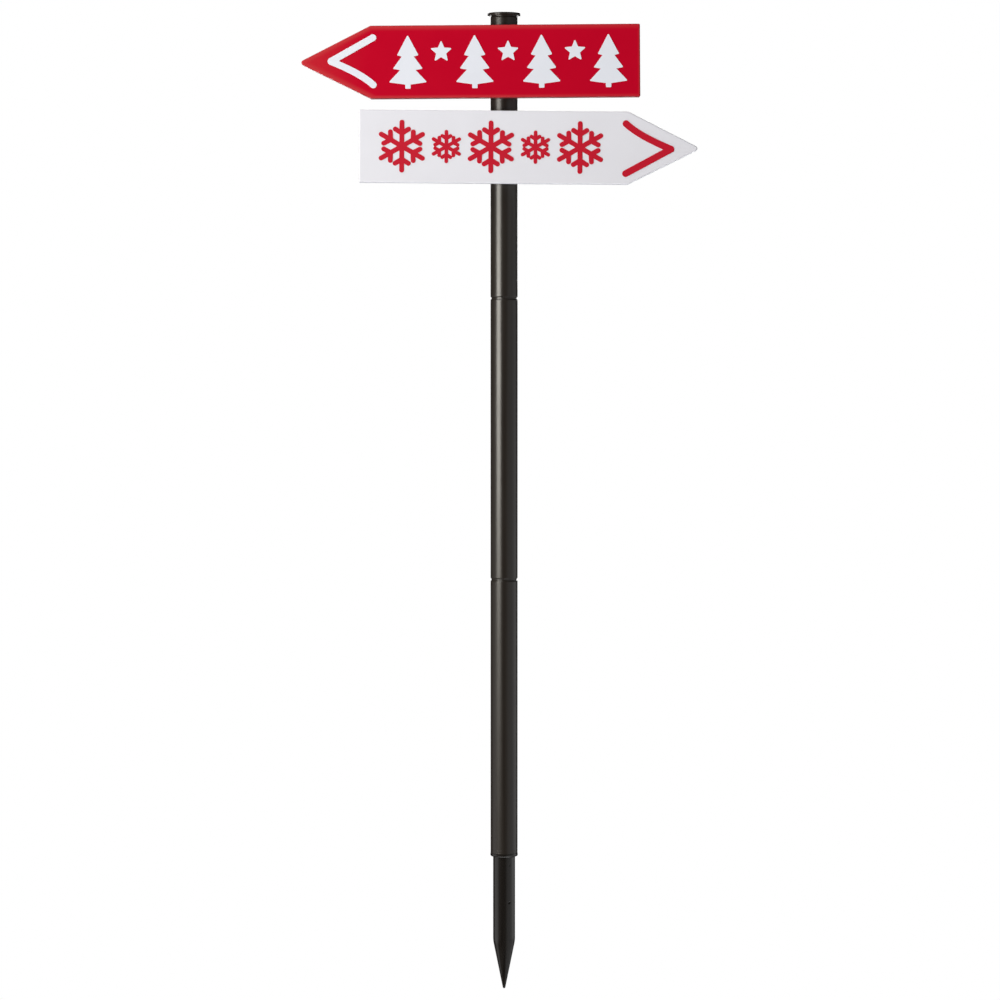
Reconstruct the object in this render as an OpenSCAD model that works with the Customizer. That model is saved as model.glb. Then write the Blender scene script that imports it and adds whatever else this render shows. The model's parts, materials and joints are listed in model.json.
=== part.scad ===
// Solar Christmas sign: two arrow shaped light boards on a slim garden post.
// Millimetres. +Z is up and the boards face -Y. The origin is on the post's axis,
// where the ground spike's round shank meets its stop collar.

/* [Post] */
// Outside diameter of the post tube
tube_d = 27; // [24:0.1:32]
// Wall of the post tube
tube_wall = 1.5; // [1.2:0.1:2.2]
// Length of the top tube
top_tube_len = 280; // [200:1:360]
// Length of the middle tube
middle_tube_len = 281; // [100:1:360]
// Length of the bottom tube
bottom_tube_len = 275.5; // [100:0.5:360]
// Chamfer on the outer edge of each tube end, which shows as a groove at each joint
tube_chamfer = 1; // [0.3:0.1:1.1]
// Chamfer on the post's lower edge, where it stands on the spike's collar
foot_chamfer = 0.3; // [0.2:0.1:1]
// Length of the sleeve inside each tube joint
coupler_len = 60; // [30:1:90]
// Wall of that sleeve
coupler_wall = 1.6; // [1:0.1:2.6]
// Radial clearance of each sleeve, plug and spigot in the tube's bore
plug_gap = 0.1; // [0.05:0.05:0.3]

/* [Solar cap] */
// Diameter of the cap's flange
cap_d = 33; // [32.8:0.1:42]
// Thickness of the flange
cap_t = 3; // [2.8:0.1:6]
// Rounding of the flange's two edges
cap_edge_r = 0.9; // [0.4:0.1:1.3]
// Length of the plug below the flange
cap_plug_len = 24; // [16:1:34]
// Wall of the plug
cap_plug_wall = 3; // [2.8:0.1:4]
// Diameter of the clear window over the solar cell
window_d = 26; // [22:0.5:28]
// Thickness of that window
window_t = 1; // [0.6:0.1:1.2]
// Margin of the window round the solar cell
cell_margin = 0.8; // [0.4:0.1:2]
// Thickness of the solar cell
cell_t = 0.5; // [0.3:0.1:0.6]
// Section diameter of the O-ring in the plug's groove
seal_d = 1.6; // [1.2:0.1:1.8]
// Distance from the flange down to the middle of the groove
seal_drop = 7; // [5:0.5:11]

/* [Ground spike] */
// Height of the stop collar under the post
collar_h = 2.9; // [2:0.1:8]
// How far the collar stands out past the tube
collar_lip = 0.2; // [0:0.1:2]
// Chamfer round the collar's lower edge
collar_chamfer = 1.3; // [0.2:0.1:1.5]
// Diameter of the round shank
shank_d = 22; // [18:0.1:23]
// Length of the shank down to the point
shank_len = 85.4; // [60:0.1:140]
// Length of the conical point
point_len = 48.7; // [30:0.1:80]
// Radius of the point's round end
point_end_r = 1.3; // [0.8:0.1:2.5]
// Wall of the hollow shank and spigot
spike_wall = 3; // [2:0.1:4]
// Length of the spigot up in the bottom tube
spigot_len = 34; // [20:1:45]
// Diameter of the shallow moulding marks on the shank
mark_d = 2.5; // [1.5:0.1:4]
// Depth of those marks
mark_depth = 0.4; // [0.2:0.1:0.6]
// Distance of the marks from the post's axis, to the right
mark_offset = 5.6; // [2:0.1:8]
// Height of the lower mark above the point's shoulder
low_mark_rise = 39.4; // [12:0.1:60]
// Depth of the upper mark below the collar
high_mark_drop = 8; // [4:0.1:30]

/* [Boards] */
// Height of both boards
board_h = 71.6; // [70:0.2:90]
// Length of the boards' straight part, from the square end to the shoulder
board_body_len = 266; // [262:1:320]
// Length of the boards' pointed end
board_point_len = 71.5; // [60:0.5:90]
// Thickness of the boards from face to back
board_t = 16; // [15:0.5:24]
// From the post's axis to the square end of the red board
red_tail = 134.2; // [134:0.1:144]
// From the post's axis to the square end of the white board
white_tail = 143.4; // [134:0.1:148]
// From the top end of the post down to the middle of the red board
red_drop = 46.7; // [44:0.1:80]
// Distance between the middles of the two boards
board_spacing = 84.5; // [80:0.5:110]
// Droop of each board towards its point, in degrees
board_droop = 0.44; // [0:0.02:0.7]
// Rounding of the corners at the square end
corner_r = 1.2; // [0.5:0.1:3]
// Rounding of the board's point
tip_r = 2.6; // [1.5:0.1:5]
// Rounding of the front edge
edge_r = 1.2; // [0.4:0.1:1.6]
// Thickness of the face
face_t = 2; // [1.4:0.1:3]
// Thickness of the side walls
side_t = 2; // [1.4:0.1:3]
// Thickness of the back cover
cover_t = 2; // [1.6:0.1:3]
// Thickness of the cover's locating rim
rim_t = 1.2; // [0.8:0.1:1.6]
// Height of that rim
rim_h = 2.4; // [1.5:0.1:4]
// Clearance between that rim and the side walls
rim_gap = 0.2; // [0.1:0.05:0.4]

/* [Screws in the back covers] */
// From the board's edges to the screws near its corners
case_screw_inset = 8; // [7:0.5:11]
// From the post's axis to the screws on each side of it
case_screw_from_post = 31; // [29:0.5:33]
// From the board's sharp point to the screw behind it
case_screw_from_point = 32; // [28:1:44]
// From the shoulders, where the straight part ends, back to the screws near them
case_screw_from_shoulder = 2; // [0:0.5:8]
// Outside diameter of the screw posts
screw_post_d = 6.4; // [5.6:0.1:7]
// Diameter of these screws
case_screw_d = 2.2; // [1.8:0.1:2.6]
// Length of these screws under the head
case_screw_len = 9; // [6:0.5:10]
// Diameter of their heads
case_head_d = 5; // [4.4:0.1:5.4]
// Height of their heads
case_head_h = 1.5; // [1:0.1:2]

/* [Clamps] */
// Height of the saddle and the strap round the post
clamp_h = 30; // [20:1:36]
// Wall of the strap round the post
clamp_wall = 3; // [2:0.1:5]
// Play between the clamp and the tube, past what the droop takes
clamp_play = 0.08; // [0.04:0.02:0.3]
// Plastic between the tube and the back cover
saddle_web = 2; // [1.8:0.1:5]
// Thickness of the strap's ears
ear_t = 4; // [3:0.1:6]
// Gap between the strap's ears and the saddle
clamp_split = 1.2; // [0.6:0.1:2.4]
// Diameter of the clamp screws
clamp_screw_d = 3; // [2.4:0.1:3.6]
// Diameter of their heads
clamp_head_d = 5.8; // [5:0.1:6.4]
// Height of their heads
clamp_head_h = 2; // [1.4:0.1:2.6]
// Width of the saddle and the ears past the screws' heads
ear_margin = 1.2; // [0.6:0.1:3]
// Length of the clamp screws under the head
clamp_screw_len = 14; // [10:0.5:15]
// Distance between the upper and lower clamp screws
clamp_screw_pitch = 18; // [10:1:22]

/* [Lights and leads] */
// Width of the LED boards
led_board_w = 22; // [20:0.5:22.5]
// Thickness of the LED boards
led_board_t = 1.2; // [0.8:0.1:1.6]
// Distance between two LEDs
led_pitch = 24; // [20:0.5:26]
// LEDs on each side of the post
leds_per_side = 5; // [2:1:5]
// Side of the square LEDs
led_w = 3.5; // [2.8:0.1:4.5]
// Height of the LEDs
led_h = 1.4; // [0.8:0.1:2]
// Diameter of the leads
lead_d = 2.2; // [1.6:0.1:2.4]
// Radius of the leads' bends inside the boards
lead_bend_r = 2.4; // [2:0.1:2.8]
// Radius of the leads' bends inside the post
post_bend_r = 6; // [3:0.5:8]
// Wall of the rubber bush round the leads
bush_wall = 0.9; // [0.6:0.1:1.2]
// Width of the bush's flange past its sleeve
bush_flange = 1.5; // [1:0.1:1.8]
// Clearance of the bush in the saddle and the tube
bush_gap = 0.2; // [0.1:0.05:0.4]

/* [Battery box] */
// Diameter of the battery
battery_d = 14.2; // [13.8:0.1:14.5]
// Length of the battery with its contact nub
battery_len = 50.5; // [46:0.1:51]
// From the post's axis to the near end of the battery box
battery_box_from_post = 56; // [54:0.5:57]
// How far the electric parts lie below the board's middle
electrics_drop = 20; // [19.8:0.1:20.5]
// Wall of the battery box
box_wall = 1.6; // [1.4:0.1:2]
// Space round the battery
battery_gap = 0.5; // [0.3:0.1:0.7]
// Length of the contact spring as fitted
spring_len = 5; // [4:0.5:5.5]
// Wire of the contact spring
spring_wire = 0.6; // [0.4:0.05:0.8]
// Turns of the contact spring
spring_turns = 5; // [3:1:6]
// Thickness of the battery contacts
contact_t = 0.4; // [0.3:0.05:0.5]
// Thickness of the battery door
door_t = 1.8; // [1.4:0.1:2.6]
// Thickness of the door's gasket
gasket_t = 0.8; // [0.5:0.1:1.2]
// Length of the block that takes the door's screw
door_block_len = 7; // [6:0.1:7.2]

/* [Control board and switch] */
// From the post's axis to the middle of the switch
switch_from_post = 45; // [44:0.5:45.5]
// Travel of the switch's slider
switch_travel = 2.5; // [1.5:0.1:3]
// Space between the control board and the back cover
board_stand = 5; // [4.6:0.1:5.4]
// Thickness of the control board
control_board_t = 1.6; // [1:0.1:1.8]
// Length of the slider's thumb piece
thumb_len = 2.4; // [2:0.1:3]
// How far the thumb piece stands out of the back cover
thumb_rise = 1.4; // [0.8:0.1:2.5]

/* [Printed marks] */
// Thickness of the raised print
print_t = 0.3; // [0.2:0.05:0.6]
// Width of the chevrons' stroke
chevron_stroke = 6.7; // [4:0.1:9]
// Length of the red board's chevron, between the middles of its strokes
red_chevron_len = 41.6; // [30:0.2:50]
// Length of the white board's chevron
white_chevron_len = 44.6; // [30:0.2:50]
// Height of the red board's chevron, in the same way
red_chevron_h = 46.4; // [36:0.2:52]
// Height of the white board's chevron
white_chevron_h = 49.2; // [36:0.2:52]
// From the board's sharp point to the chevron's open end
chevron_from_point = 74; // [66:0.2:82]
// How far the bends lie above the middle line on the white board, and below it on the red one
chevron_offset = -0.9; // [-2:0.1:2]
// Height of the fir trees on the red board
tree_h = 53; // [30:1:58]
// Width of the fir trees
tree_w = 38; // [24:1:42]
// Number of fir trees in the row
tree_count = 4; // [2:1:5]
// From the board's square end to the middle of the first tree
tree_from_end = 31.3; // [24:0.1:50]
// From the chevron's open end to the middle of the last tree
tree_from_arrow = 34.2; // [28:0.1:50]
// Diameter of the stars between the trees
star_d = 23; // [12:1:25]
// Height of the stars' middles above the board's middle line
star_rise = 9.5; // [0:0.5:14]
// Diameter of the large snowflakes on the white board
flake_d = 52; // [40:1:58]
// Diameter of the small snowflakes
small_flake_d = 33; // [24:1:36]
// Number of snowflakes in the row, where large and small ones take turns
flake_count = 5; // [3:2:5]
// From the board's square end to the middle of the first snowflake
flake_from_end = 42.3; // [32:0.1:50]
// From the chevron's open end to the middle of the last snowflake
flake_from_arrow = 45.2; // [34:0.1:54]
// Stroke of the large snowflakes
flake_stroke = 4.8; // [3:0.1:6]
// Stroke of the small snowflakes
small_flake_stroke = 3.6; // [2:0.1:4.5]

/* [Hidden] */
$fn = 48;

// Overlap of a cut past the surface that it opens
cut = 0.5;
// Clearance of a screw in the hole that it threads into, where the thread is left out
thread_gap = 0.05;
// Clearance of a screw in a hole that it only passes through
screw_hole_gap = 0.3;
// Clearance of small pieces that drop into their seats
seat_gap = 0.1;
// Width of the lines that are then widened to a printed stroke
hair = 0.1;
// Chamfer that guides a plug or spigot into the tube
lead_in = 1;

// Post, from the collar upwards
tube_r = tube_d / 2;
bore_r = tube_r - tube_wall;
plug_r = bore_r - plug_gap;
middle_tube_z = collar_h + bottom_tube_len;
top_tube_z = middle_tube_z + middle_tube_len;
post_top_z = top_tube_z + top_tube_len;
red_z = post_top_z - red_drop;
white_z = red_z - board_spacing;

// Solar cap
window_seat_r = window_d / 2 + seat_gap;
cell_z = post_top_z + cap_t - window_t - cell_t;
seal_r = bore_r - seal_d / 2 - thread_gap;
groove_h = seal_d + 2 * seat_gap;

// Boards, front to back
back_y = -(tube_r + saddle_web);
inner_y = back_y - cover_t;
front_y = back_y - board_t;
inner_face_y = front_y + face_t;
point_angle = atan(board_h / 2 / board_point_len);
board_len = board_body_len + board_point_len;

// Clamps: the bore is wide enough for the board to droop on a straight tube
clamp_r = tube_r + clamp_play + clamp_h / 2 * sin(board_droop);
strap_r = clamp_r + clamp_wall;
clamp_screw_x = strap_r + clamp_head_d / 2 + seat_gap;
clamp_half_w = clamp_screw_x + clamp_head_d / 2 + ear_margin;
saddle_corner_r = 2;
ear_corner_r = 1;

// Leads, their bushes and the sockets on the LED boards
lead_r = lead_d / 2;
lead_spacing = 0.6;
lead_offset = lead_r + lead_spacing / 2;
bush_r = lead_offset + lead_r + bush_wall;
bush_flange_t = led_board_t;
bush_stand_in = 1.5;
bush_inner_end = bore_r - bush_stand_in;
lead_hole_r = lead_r + seat_gap;
rise_y = inner_y - bush_flange_t - seat_gap - lead_bend_r;
socket_wall = 0.9;
socket_z = bush_r + bush_flange + socket_wall;
socket_len = led_board_w / 2 - socket_z;
socket_side = 2.1;
socket_bottom_t = 1.6;
lead_end_gap = 0.5;
lead_lap = 1;

// LED boards
led_board_margin = 4;
led_board_half = led_pitch * (leds_per_side - 0.5) + led_w / 2 + led_board_margin;
led_board_corner_r = 1;
led_dome_h = 0.3;

// Battery box, whose near end lies towards the post
box_in_h = battery_d + 2 * battery_gap;
box_h = box_in_h + 2 * box_wall;
box_depth = battery_d + 2 * battery_gap;
battery_x = box_wall + contact_t + seat_gap;
far_contact_x = battery_x + battery_len + spring_len;
box_len = far_contact_x + contact_t + seat_gap + box_wall;
door_len = box_len + door_block_len;
box_corner_r = 1;
contact_w = 3;
contact_plate_w = 10;
contact_plate_drop = 4;
contact_foot_lap = 2;
battery_nub_len = 1;
battery_nub_r = 2.75;
spring_small_r = 2.6;
spring_spread = 2;
door_corner_r = 1.6;
door_screw_len = 8;
door_screw_room = 0.5;
tab_w = 8;
tab_h = 1.2;
tab_drop = 1;

// Control board and switch
control_back_y = inner_y - board_stand;
control_front_y = control_back_y - control_board_t;
control_len = 36;
control_h = 20;
control_corner_r = 0.8;
switch_inset = 7;
control_x = -(switch_from_post + control_len / 2 - switch_inset);
control_post_inset = 3.5;
control_post_x = [control_x - control_len / 2 + control_post_inset,
                  control_x + control_len / 2 - control_post_inset];
control_screw_dz = 6;
control_post_r = 2.5;
control_screw_r = 0.9;
control_head_r = 1.7;
control_head_h = 1.1;
control_screw_room = 1;
chip_size = [6, 1.5, 5];
coil_r = 3;
coil_h = 3.5;
chip_offset = 4;
coil_offset = -5;
parts_drop = 4;
battery_lead_r = 0.7;
battery_lead_lap = 1;
ribbon_t = 0.8;
ribbon_w = 6;
ribbon_gap = 0.5;
ribbon_lap = 4;
slider_base = [4.4, 1.5, 3];
slider_play = 0.15;
slider_lift = 1.7;
switch_wall = 0.9;
switch_size = [slider_base[0] + switch_travel + 2 * (slider_play + switch_wall),
               board_stand - 2 * seat_gap, 4.6];
thumb_w = 1.8;
thumb_groove = 0.3;
slot_room = 0.6;
recess_depth = 0.8;
recess_margin = 2;
recess_corner_r = 1.5;

// Printed marks. The shares are of the mark's own height, width or arm
print_room = board_len - chevron_from_point;
chevron_lift = 0.2;
chevron_handle = [0.71, 0.26];
tier_share = 0.38;
tier_step = 0.25;
tier_notch = 0.05;
top_tier_share = 0.56;
tier_growth = 0.22;
trunk_share = 0.14;
trunk_rise = 0.22;
tree_corner_r = 0.8;
star_inner_share = 0.46;
star_corner_r = 0.7;
fork_share = 0.54;
twig_share = 0.33;
twig_angle = 58;

RED = [0.72, 0.02, 0.13];
WHITE = [0.9, 0.9, 0.92];
PRINT_RED = [0.78, 0.02, 0.14];
DARK = [0.2, 0.18, 0.16];
STEEL = [0.72, 0.72, 0.74];
GREEN = [0.1, 0.36, 0.2];

function unit(v) = v / norm(v);

// One rounded corner: its two tangent points, its centre and its radius
function rounded_corner(p, before, after, r) =
    let (u = unit(before - p), v = unit(after - p), half = acos(u * v) / 2)
    [p + u * r / tan(half), p + v * r / tan(half), p + unit(u + v) * r / sin(half), r];

// A convex outline with a round arc of its own radius at each corner
module rounded_polygon(points, radii) {
    n = len(points);
    corners = [for (i = [0 : n - 1])
        rounded_corner(points[i], points[(i + n - 1) % n], points[(i + 1) % n], radii[i])];
    polygon([for (c = corners) each [c[0], c[1]]]);
    for (c = corners)
        translate(c[2])
            circle(r = c[3]);
}

// A rectangle between two corners, with round corners
module rounded_rectangle(low, high, r) {
    rounded_polygon([low, [high[0], low[1]], high, [low[0], high[1]]], [r, r, r, r]);
}

// A flat slab: its outline lies in X and Z, and it reaches from y = back forward by thickness
module slab(back, thickness) {
    translate([0, back, 0])
        rotate([90, 0, 0])
            linear_extrude(thickness)
                children();
}

// A round rod along Y from y = from to y = to
module y_rod(r, from, to) {
    translate([0, to, 0])
        rotate([90, 0, 0])
            cylinder(h = to - from, r = r);
}

// Corners of a board's outline, moved inwards by inset. The point lies towards +X
function board_points(tail, inset) =
    let (h = board_h / 2 - inset,
         tip = board_len - tail - inset / sin(point_angle),
         shoulder = tip - h / tan(point_angle))
    [[inset - tail, -h], [shoulder, -h], [tip, 0], [shoulder, h], [inset - tail, h]];

function board_radii(inset) =
    [for (r = [corner_r, corner_r, tip_r, corner_r, corner_r]) max(r - inset, 0.4)];

module board_outline(tail, inset) {
    rounded_polygon(board_points(tail, inset), board_radii(inset));
}

// Where a board's case screws stand, in X and Z
function case_screw_spots(tail) =
    let (z = board_h / 2 - case_screw_inset,
         xs = [case_screw_inset - tail, -case_screw_from_post, case_screw_from_post,
               board_body_len - tail - case_screw_from_shoulder])
    concat([for (x = xs, side = [-1, 1]) [x, side * z]],
           [[board_len - tail - case_screw_from_point, 0]]);

// Frames of the two boards: +X towards the board's point, the face towards -Y
module on_red_board() {
    translate([0, 0, red_z])
        rotate([0, -board_droop, 0])
            mirror([1, 0, 0])
                children();
}

module on_white_board() {
    translate([0, 0, white_z])
        rotate([0, board_droop, 0])
            children();
}

// A pan head screw with a cross recess. The head stands on y = 0 and the shank points to -Y
module pan_screw(shank_r, shank_len, head_r, head_h) {
    slot_w = head_r / 3;
    slot_half = head_r * 0.6;
    slot_bottom = head_h * 0.35;
    crown_r = head_r * 0.72;
    y_rod(shank_r, -shank_len, 0);
    difference() {
        rotate([-90, 0, 0]) {
            cylinder(h = head_h / 2, r = head_r);
            translate([0, 0, head_h / 2])
                cylinder(h = head_h / 2, r1 = head_r, r2 = crown_r);
        }
        for (turn = [0, 90])
            rotate([0, turn, 0])
                translate([-slot_half, slot_bottom, -slot_w / 2])
                    cube([2 * slot_half, head_h, slot_w]);
    }
}

// Post

module tube(z, length, low_chamfer = tube_chamfer) {
    translate([0, 0, z])
        rotate_extrude()
            polygon([[bore_r, 0], [tube_r - low_chamfer, 0], [tube_r, low_chamfer],
                     [tube_r, length - tube_chamfer], [tube_r - tube_chamfer, length],
                     [bore_r, length]]);
}

module post_tube_top() {
    color(DARK)
        difference() {
            tube(top_tube_z, top_tube_len);
            for (z = [red_z, white_z])
                translate([0, 0, z])
                    y_rod(bush_r + bush_gap, -tube_r - cut, 0);
        }
}

module post_tube_middle() {
    color(DARK)
        tube(middle_tube_z, middle_tube_len);
}

module post_tube_bottom() {
    color(DARK)
        tube(collar_h, bottom_tube_len, foot_chamfer);
}

module coupler(joint_z) {
    color(DARK)
        translate([0, 0, joint_z - coupler_len / 2])
            difference() {
                cylinder(h = coupler_len, r = plug_r);
                translate([0, 0, -cut])
                    cylinder(h = coupler_len + 2 * cut, r = plug_r - coupler_wall);
            }
}

module post_coupler_upper() {
    coupler(top_tube_z);
}

module post_coupler_lower() {
    coupler(middle_tube_z);
}

// Solar cap

module solar_cap_housing() {
    cap_r = cap_d / 2;
    plug_in_r = plug_r - cap_plug_wall;
    color(DARK)
        translate([0, 0, post_top_z])
            difference() {
                union() {
                    rotate_extrude() {
                        square([cap_r - cap_edge_r, cap_t]);
                        translate([0, cap_edge_r])
                            square([cap_r, cap_t - 2 * cap_edge_r]);
                        for (z = [cap_edge_r, cap_t - cap_edge_r])
                            translate([cap_r - cap_edge_r, z])
                                circle(r = cap_edge_r);
                    }
                    translate([0, 0, -cap_plug_len])
                        cylinder(h = cap_plug_len + cut, r = plug_r);
                }
                translate([0, 0, cap_t - window_t - cell_t])
                    cylinder(h = window_t + cell_t + cut, r = window_seat_r);
                translate([0, 0, -cap_plug_len - cut])
                    cylinder(h = cap_plug_len + cut, r = plug_in_r);
                cylinder(h = cap_t, r = lead_r + seat_gap);
                translate([0, 0, -seal_drop - groove_h / 2])
                    difference() {
                        cylinder(h = groove_h, r = plug_r + cut);
                        cylinder(h = groove_h, r = bore_r - seal_d - 2 * thread_gap);
                    }
            }
}

module solar_cell() {
    color([0.06, 0.08, 0.2])
        translate([0, 0, cell_z])
            cylinder(h = cell_t, r = window_d / 2 - cell_margin);
}

module cell_window() {
    color([0.75, 0.82, 0.88, 0.5])
        translate([0, 0, cell_z + cell_t])
            cylinder(h = window_t, r = window_d / 2);
}

module cap_seal_ring() {
    color([0.08, 0.08, 0.08])
        translate([0, 0, post_top_z - seal_drop])
            rotate_extrude()
                translate([seal_r, 0])
                    circle(d = seal_d);
}

// Ground spike

module ground_spike() {
    collar_r = tube_r + collar_lip;
    shank_r = shank_d / 2;
    core_r = min(plug_r, shank_r) - spike_wall;
    top_z = collar_h + spigot_len;
    color(DARK)
        difference() {
            rotate_extrude()
                polygon(concat(point_profile(shank_r),
                    [[shank_r, -shank_len], [shank_r, 0], [collar_r - collar_chamfer, 0],
                     [collar_r, collar_chamfer], [collar_r, collar_h], [plug_r, collar_h],
                     [plug_r, top_z - lead_in], [plug_r - lead_in, top_z], [0, top_z]]));
            translate([0, 0, -shank_len])
                cylinder(h = shank_len + top_z + cut, r = core_r);
            for (z = [low_mark_rise - shank_len, -high_mark_drop])
                shank_mark(mark_offset, z, shank_r);
        }
}

// The point's round end, up to where the cone runs tangent into it
function point_profile(shank_r) =
    let (ball_z = point_end_r - shank_len - point_len,
         slant = asin((shank_r - point_end_r) / (point_len - point_end_r)),
         steps = 6)
    [for (i = [0 : steps])
        let (a = (90 - slant) * i / steps)
        [point_end_r * sin(a), ball_z - point_end_r * cos(a)]];

// A shallow round mark left by the mould on the front of the shank
module shank_mark(x, z, shank_r) {
    surface_y = -sqrt(shank_r * shank_r - x * x);
    ball_r = (mark_d * mark_d / 4 + mark_depth * mark_depth) / (2 * mark_depth);
    out = [x, surface_y, 0] / shank_r;
    translate([x, surface_y, z] + out * (ball_r - mark_depth))
        sphere(r = ball_r);
}

// Boards: the front tray, the back cover and what holds them

module board_front(tail, paint) {
    steps = [for (a = [0 : 30 : 90]) [edge_r * (1 - cos(a)), edge_r * (1 - sin(a))]];
    color(paint) {
        difference() {
            hull()
                for (s = steps)
                    slab(inner_y, inner_y - front_y - s[1])
                        board_outline(tail, s[0], $fn = 24);
            slab(inner_y + cut, inner_y + cut - inner_face_y)
                board_outline(tail, side_t);
        }
        for (spot = case_screw_spots(tail))
            translate([spot[0], 0, spot[1]])
                difference() {
                    y_rod(screw_post_d / 2, inner_face_y - cut, inner_y);
                    y_rod(case_screw_d / 2 + thread_gap, inner_y - case_screw_len - cut, inner_y + cut);
                }
    }
}

module red_sign_front() {
    on_red_board()
        board_front(red_tail, RED);
}

module white_sign_front() {
    on_white_board()
        board_front(white_tail, WHITE);
}

// The plate with its locating rim and the saddle, still without holes
module cover_body(tail) {
    slab(back_y, cover_t)
        board_outline(tail, 0);
    slab(inner_y + cut, rim_h + cut)
        difference() {
            board_outline(tail, side_t + rim_gap);
            board_outline(tail, side_t + rim_gap + rim_t);
        }
    slab(-clamp_split / 2, -clamp_split / 2 - back_y + cut)
        rounded_rectangle([-clamp_half_w, -clamp_h / 2], [clamp_half_w, clamp_h / 2], saddle_corner_r);
}

// Holes for the post, the bush, the case screws and the clamp screws
module cover_holes(tail) {
    translate([0, 0, -clamp_h / 2 - cut])
        cylinder(h = clamp_h + 2 * cut, r = clamp_r);
    y_rod(bush_r + bush_gap, inner_y - cut, 0);
    for (spot = case_screw_spots(tail))
        translate([spot[0], 0, spot[1]])
            y_rod(case_screw_d / 2 + screw_hole_gap, inner_y - cut, back_y + cut);
    for (x = [-clamp_screw_x, clamp_screw_x], z = [-0.5, 0.5])
        translate([x, 0, z * clamp_screw_pitch])
            y_rod(clamp_screw_d / 2 + thread_gap, clamp_split / 2 + ear_t - clamp_screw_len - cut, 0);
}

module white_sign_back() {
    color(WHITE)
        on_white_board()
            difference() {
                cover_body(white_tail);
                cover_holes(white_tail);
            }
}

module red_sign_back() {
    color(RED)
        on_red_board()
            difference() {
                union() {
                    cover_body(red_tail);
                    in_battery_box()
                        battery_box();
                    control_posts();
                }
                cover_holes(red_tail);
                in_battery_box()
                    battery_box_holes();
                switch_window();
                control_post_holes();
            }
}

module strap() {
    span = clamp_h + 2 * cut;
    difference() {
        translate([0, 0, -clamp_h / 2])
            linear_extrude(clamp_h)
                difference() {
                    union() {
                        circle(r = strap_r);
                        rounded_rectangle([-clamp_half_w, clamp_split / 2],
                                          [clamp_half_w, clamp_split / 2 + ear_t], ear_corner_r);
                    }
                    circle(r = clamp_r);
                    translate([-2 * strap_r, clamp_split / 2 - 4 * strap_r])
                        square(4 * strap_r);
                }
        for (x = [-clamp_screw_x, clamp_screw_x], z = [-0.5, 0.5])
            translate([x, 0, z * clamp_screw_pitch])
                y_rod(clamp_screw_d / 2 + screw_hole_gap, 0, clamp_split / 2 + ear_t + cut);
    }
}

module red_sign_clamp() {
    color(DARK)
        on_red_board()
            strap();
}

module white_sign_clamp() {
    color(DARK)
        on_white_board()
            strap();
}

module clamp_screws() {
    for (x = [-clamp_screw_x, clamp_screw_x], z = [-0.5, 0.5])
        translate([x, clamp_split / 2 + ear_t, z * clamp_screw_pitch])
            pan_screw(clamp_screw_d / 2, clamp_screw_len, clamp_head_d / 2, clamp_head_h);
}

module red_sign_clamp_screws() {
    color(STEEL)
        on_red_board()
            clamp_screws();
}

module white_sign_clamp_screws() {
    color(STEEL)
        on_white_board()
            clamp_screws();
}

module case_screws(tail) {
    for (spot = case_screw_spots(tail))
        translate([spot[0], back_y, spot[1]])
            pan_screw(case_screw_d / 2, case_screw_len + cover_t, case_head_d / 2, case_head_h);
}

module red_sign_case_screws() {
    color(STEEL)
        on_red_board()
            case_screws(red_tail);
}

module white_sign_case_screws() {
    color(STEEL)
        on_white_board()
            case_screws(white_tail);
}

// Lights

// The board lies on the cover's inner face, with a hole round the bush and a socket for each lead
module led_board(socket_sides) {
    socket_w = lead_d + 2 * socket_side;
    socket_y = rise_y - lead_r - socket_wall;
    color(GREEN)
        difference() {
            union() {
                slab(inner_y, led_board_t)
                    rounded_rectangle([-led_board_half, -led_board_w / 2],
                                      [led_board_half, led_board_w / 2], led_board_corner_r);
                for (side = socket_sides)
                    scale([1, 1, side])
                        translate([-socket_w / 2, socket_y, socket_z])
                            cube([socket_w, inner_y - led_board_t / 2 - socket_y, socket_len]);
            }
            y_rod(bush_r + bush_flange + seat_gap, inner_y - led_board_t - cut, inner_y + cut);
            for (side = socket_sides)
                scale([1, 1, side])
                    translate([0, rise_y, socket_z - cut])
                        cylinder(h = socket_len - socket_bottom_t + cut, r = lead_hole_r);
        }
}

module red_sign_led_board() {
    on_red_board()
        led_board([1, -1]);
}

module white_sign_led_board() {
    on_white_board()
        led_board([1]);
}

module leds() {
    color([0.95, 0.88, 0.55])
        for (i = [0.5 - leds_per_side : leds_per_side - 0.5])
            translate([i * led_pitch, inner_y - led_board_t, 0]) {
                translate([-led_w / 2, -led_h, -led_w / 2])
                    cube([led_w, led_h, led_w]);
                y_rod(led_w * 0.4, -led_h - led_dome_h, -led_h / 2);
            }
}

module red_sign_leds() {
    on_red_board()
        leds();
}

module white_sign_leds() {
    on_white_board()
        leds();
}

// Rubber bush through the cover, the saddle and the wall of the tube, with a bore for each lead
module lead_bush(lead_heights) {
    color([0.09, 0.09, 0.09])
        difference() {
            union() {
                y_rod(bush_r, inner_y - bush_flange_t / 2, -bush_inner_end);
                y_rod(bush_r + bush_flange, inner_y - bush_flange_t, inner_y);
            }
            for (z = lead_heights)
                translate([0, 0, z])
                    y_rod(lead_hole_r, inner_y - bush_flange_t - cut, -bush_inner_end + cut);
        }
}

module red_sign_lead_bush() {
    on_red_board()
        lead_bush([lead_offset, -lead_offset]);
}

module white_sign_lead_bush() {
    on_white_board()
        lead_bush([0]);
}

// Leads

// A quarter bend in the Y-Z plane: it starts at the origin towards -Y and ends upwards
module bend_up(r) {
    translate([0, 0, r])
        rotate([0, 90, 180])
            rotate_extrude(angle = 90)
                translate([r, 0])
                    circle(r = lead_r);
}

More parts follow.
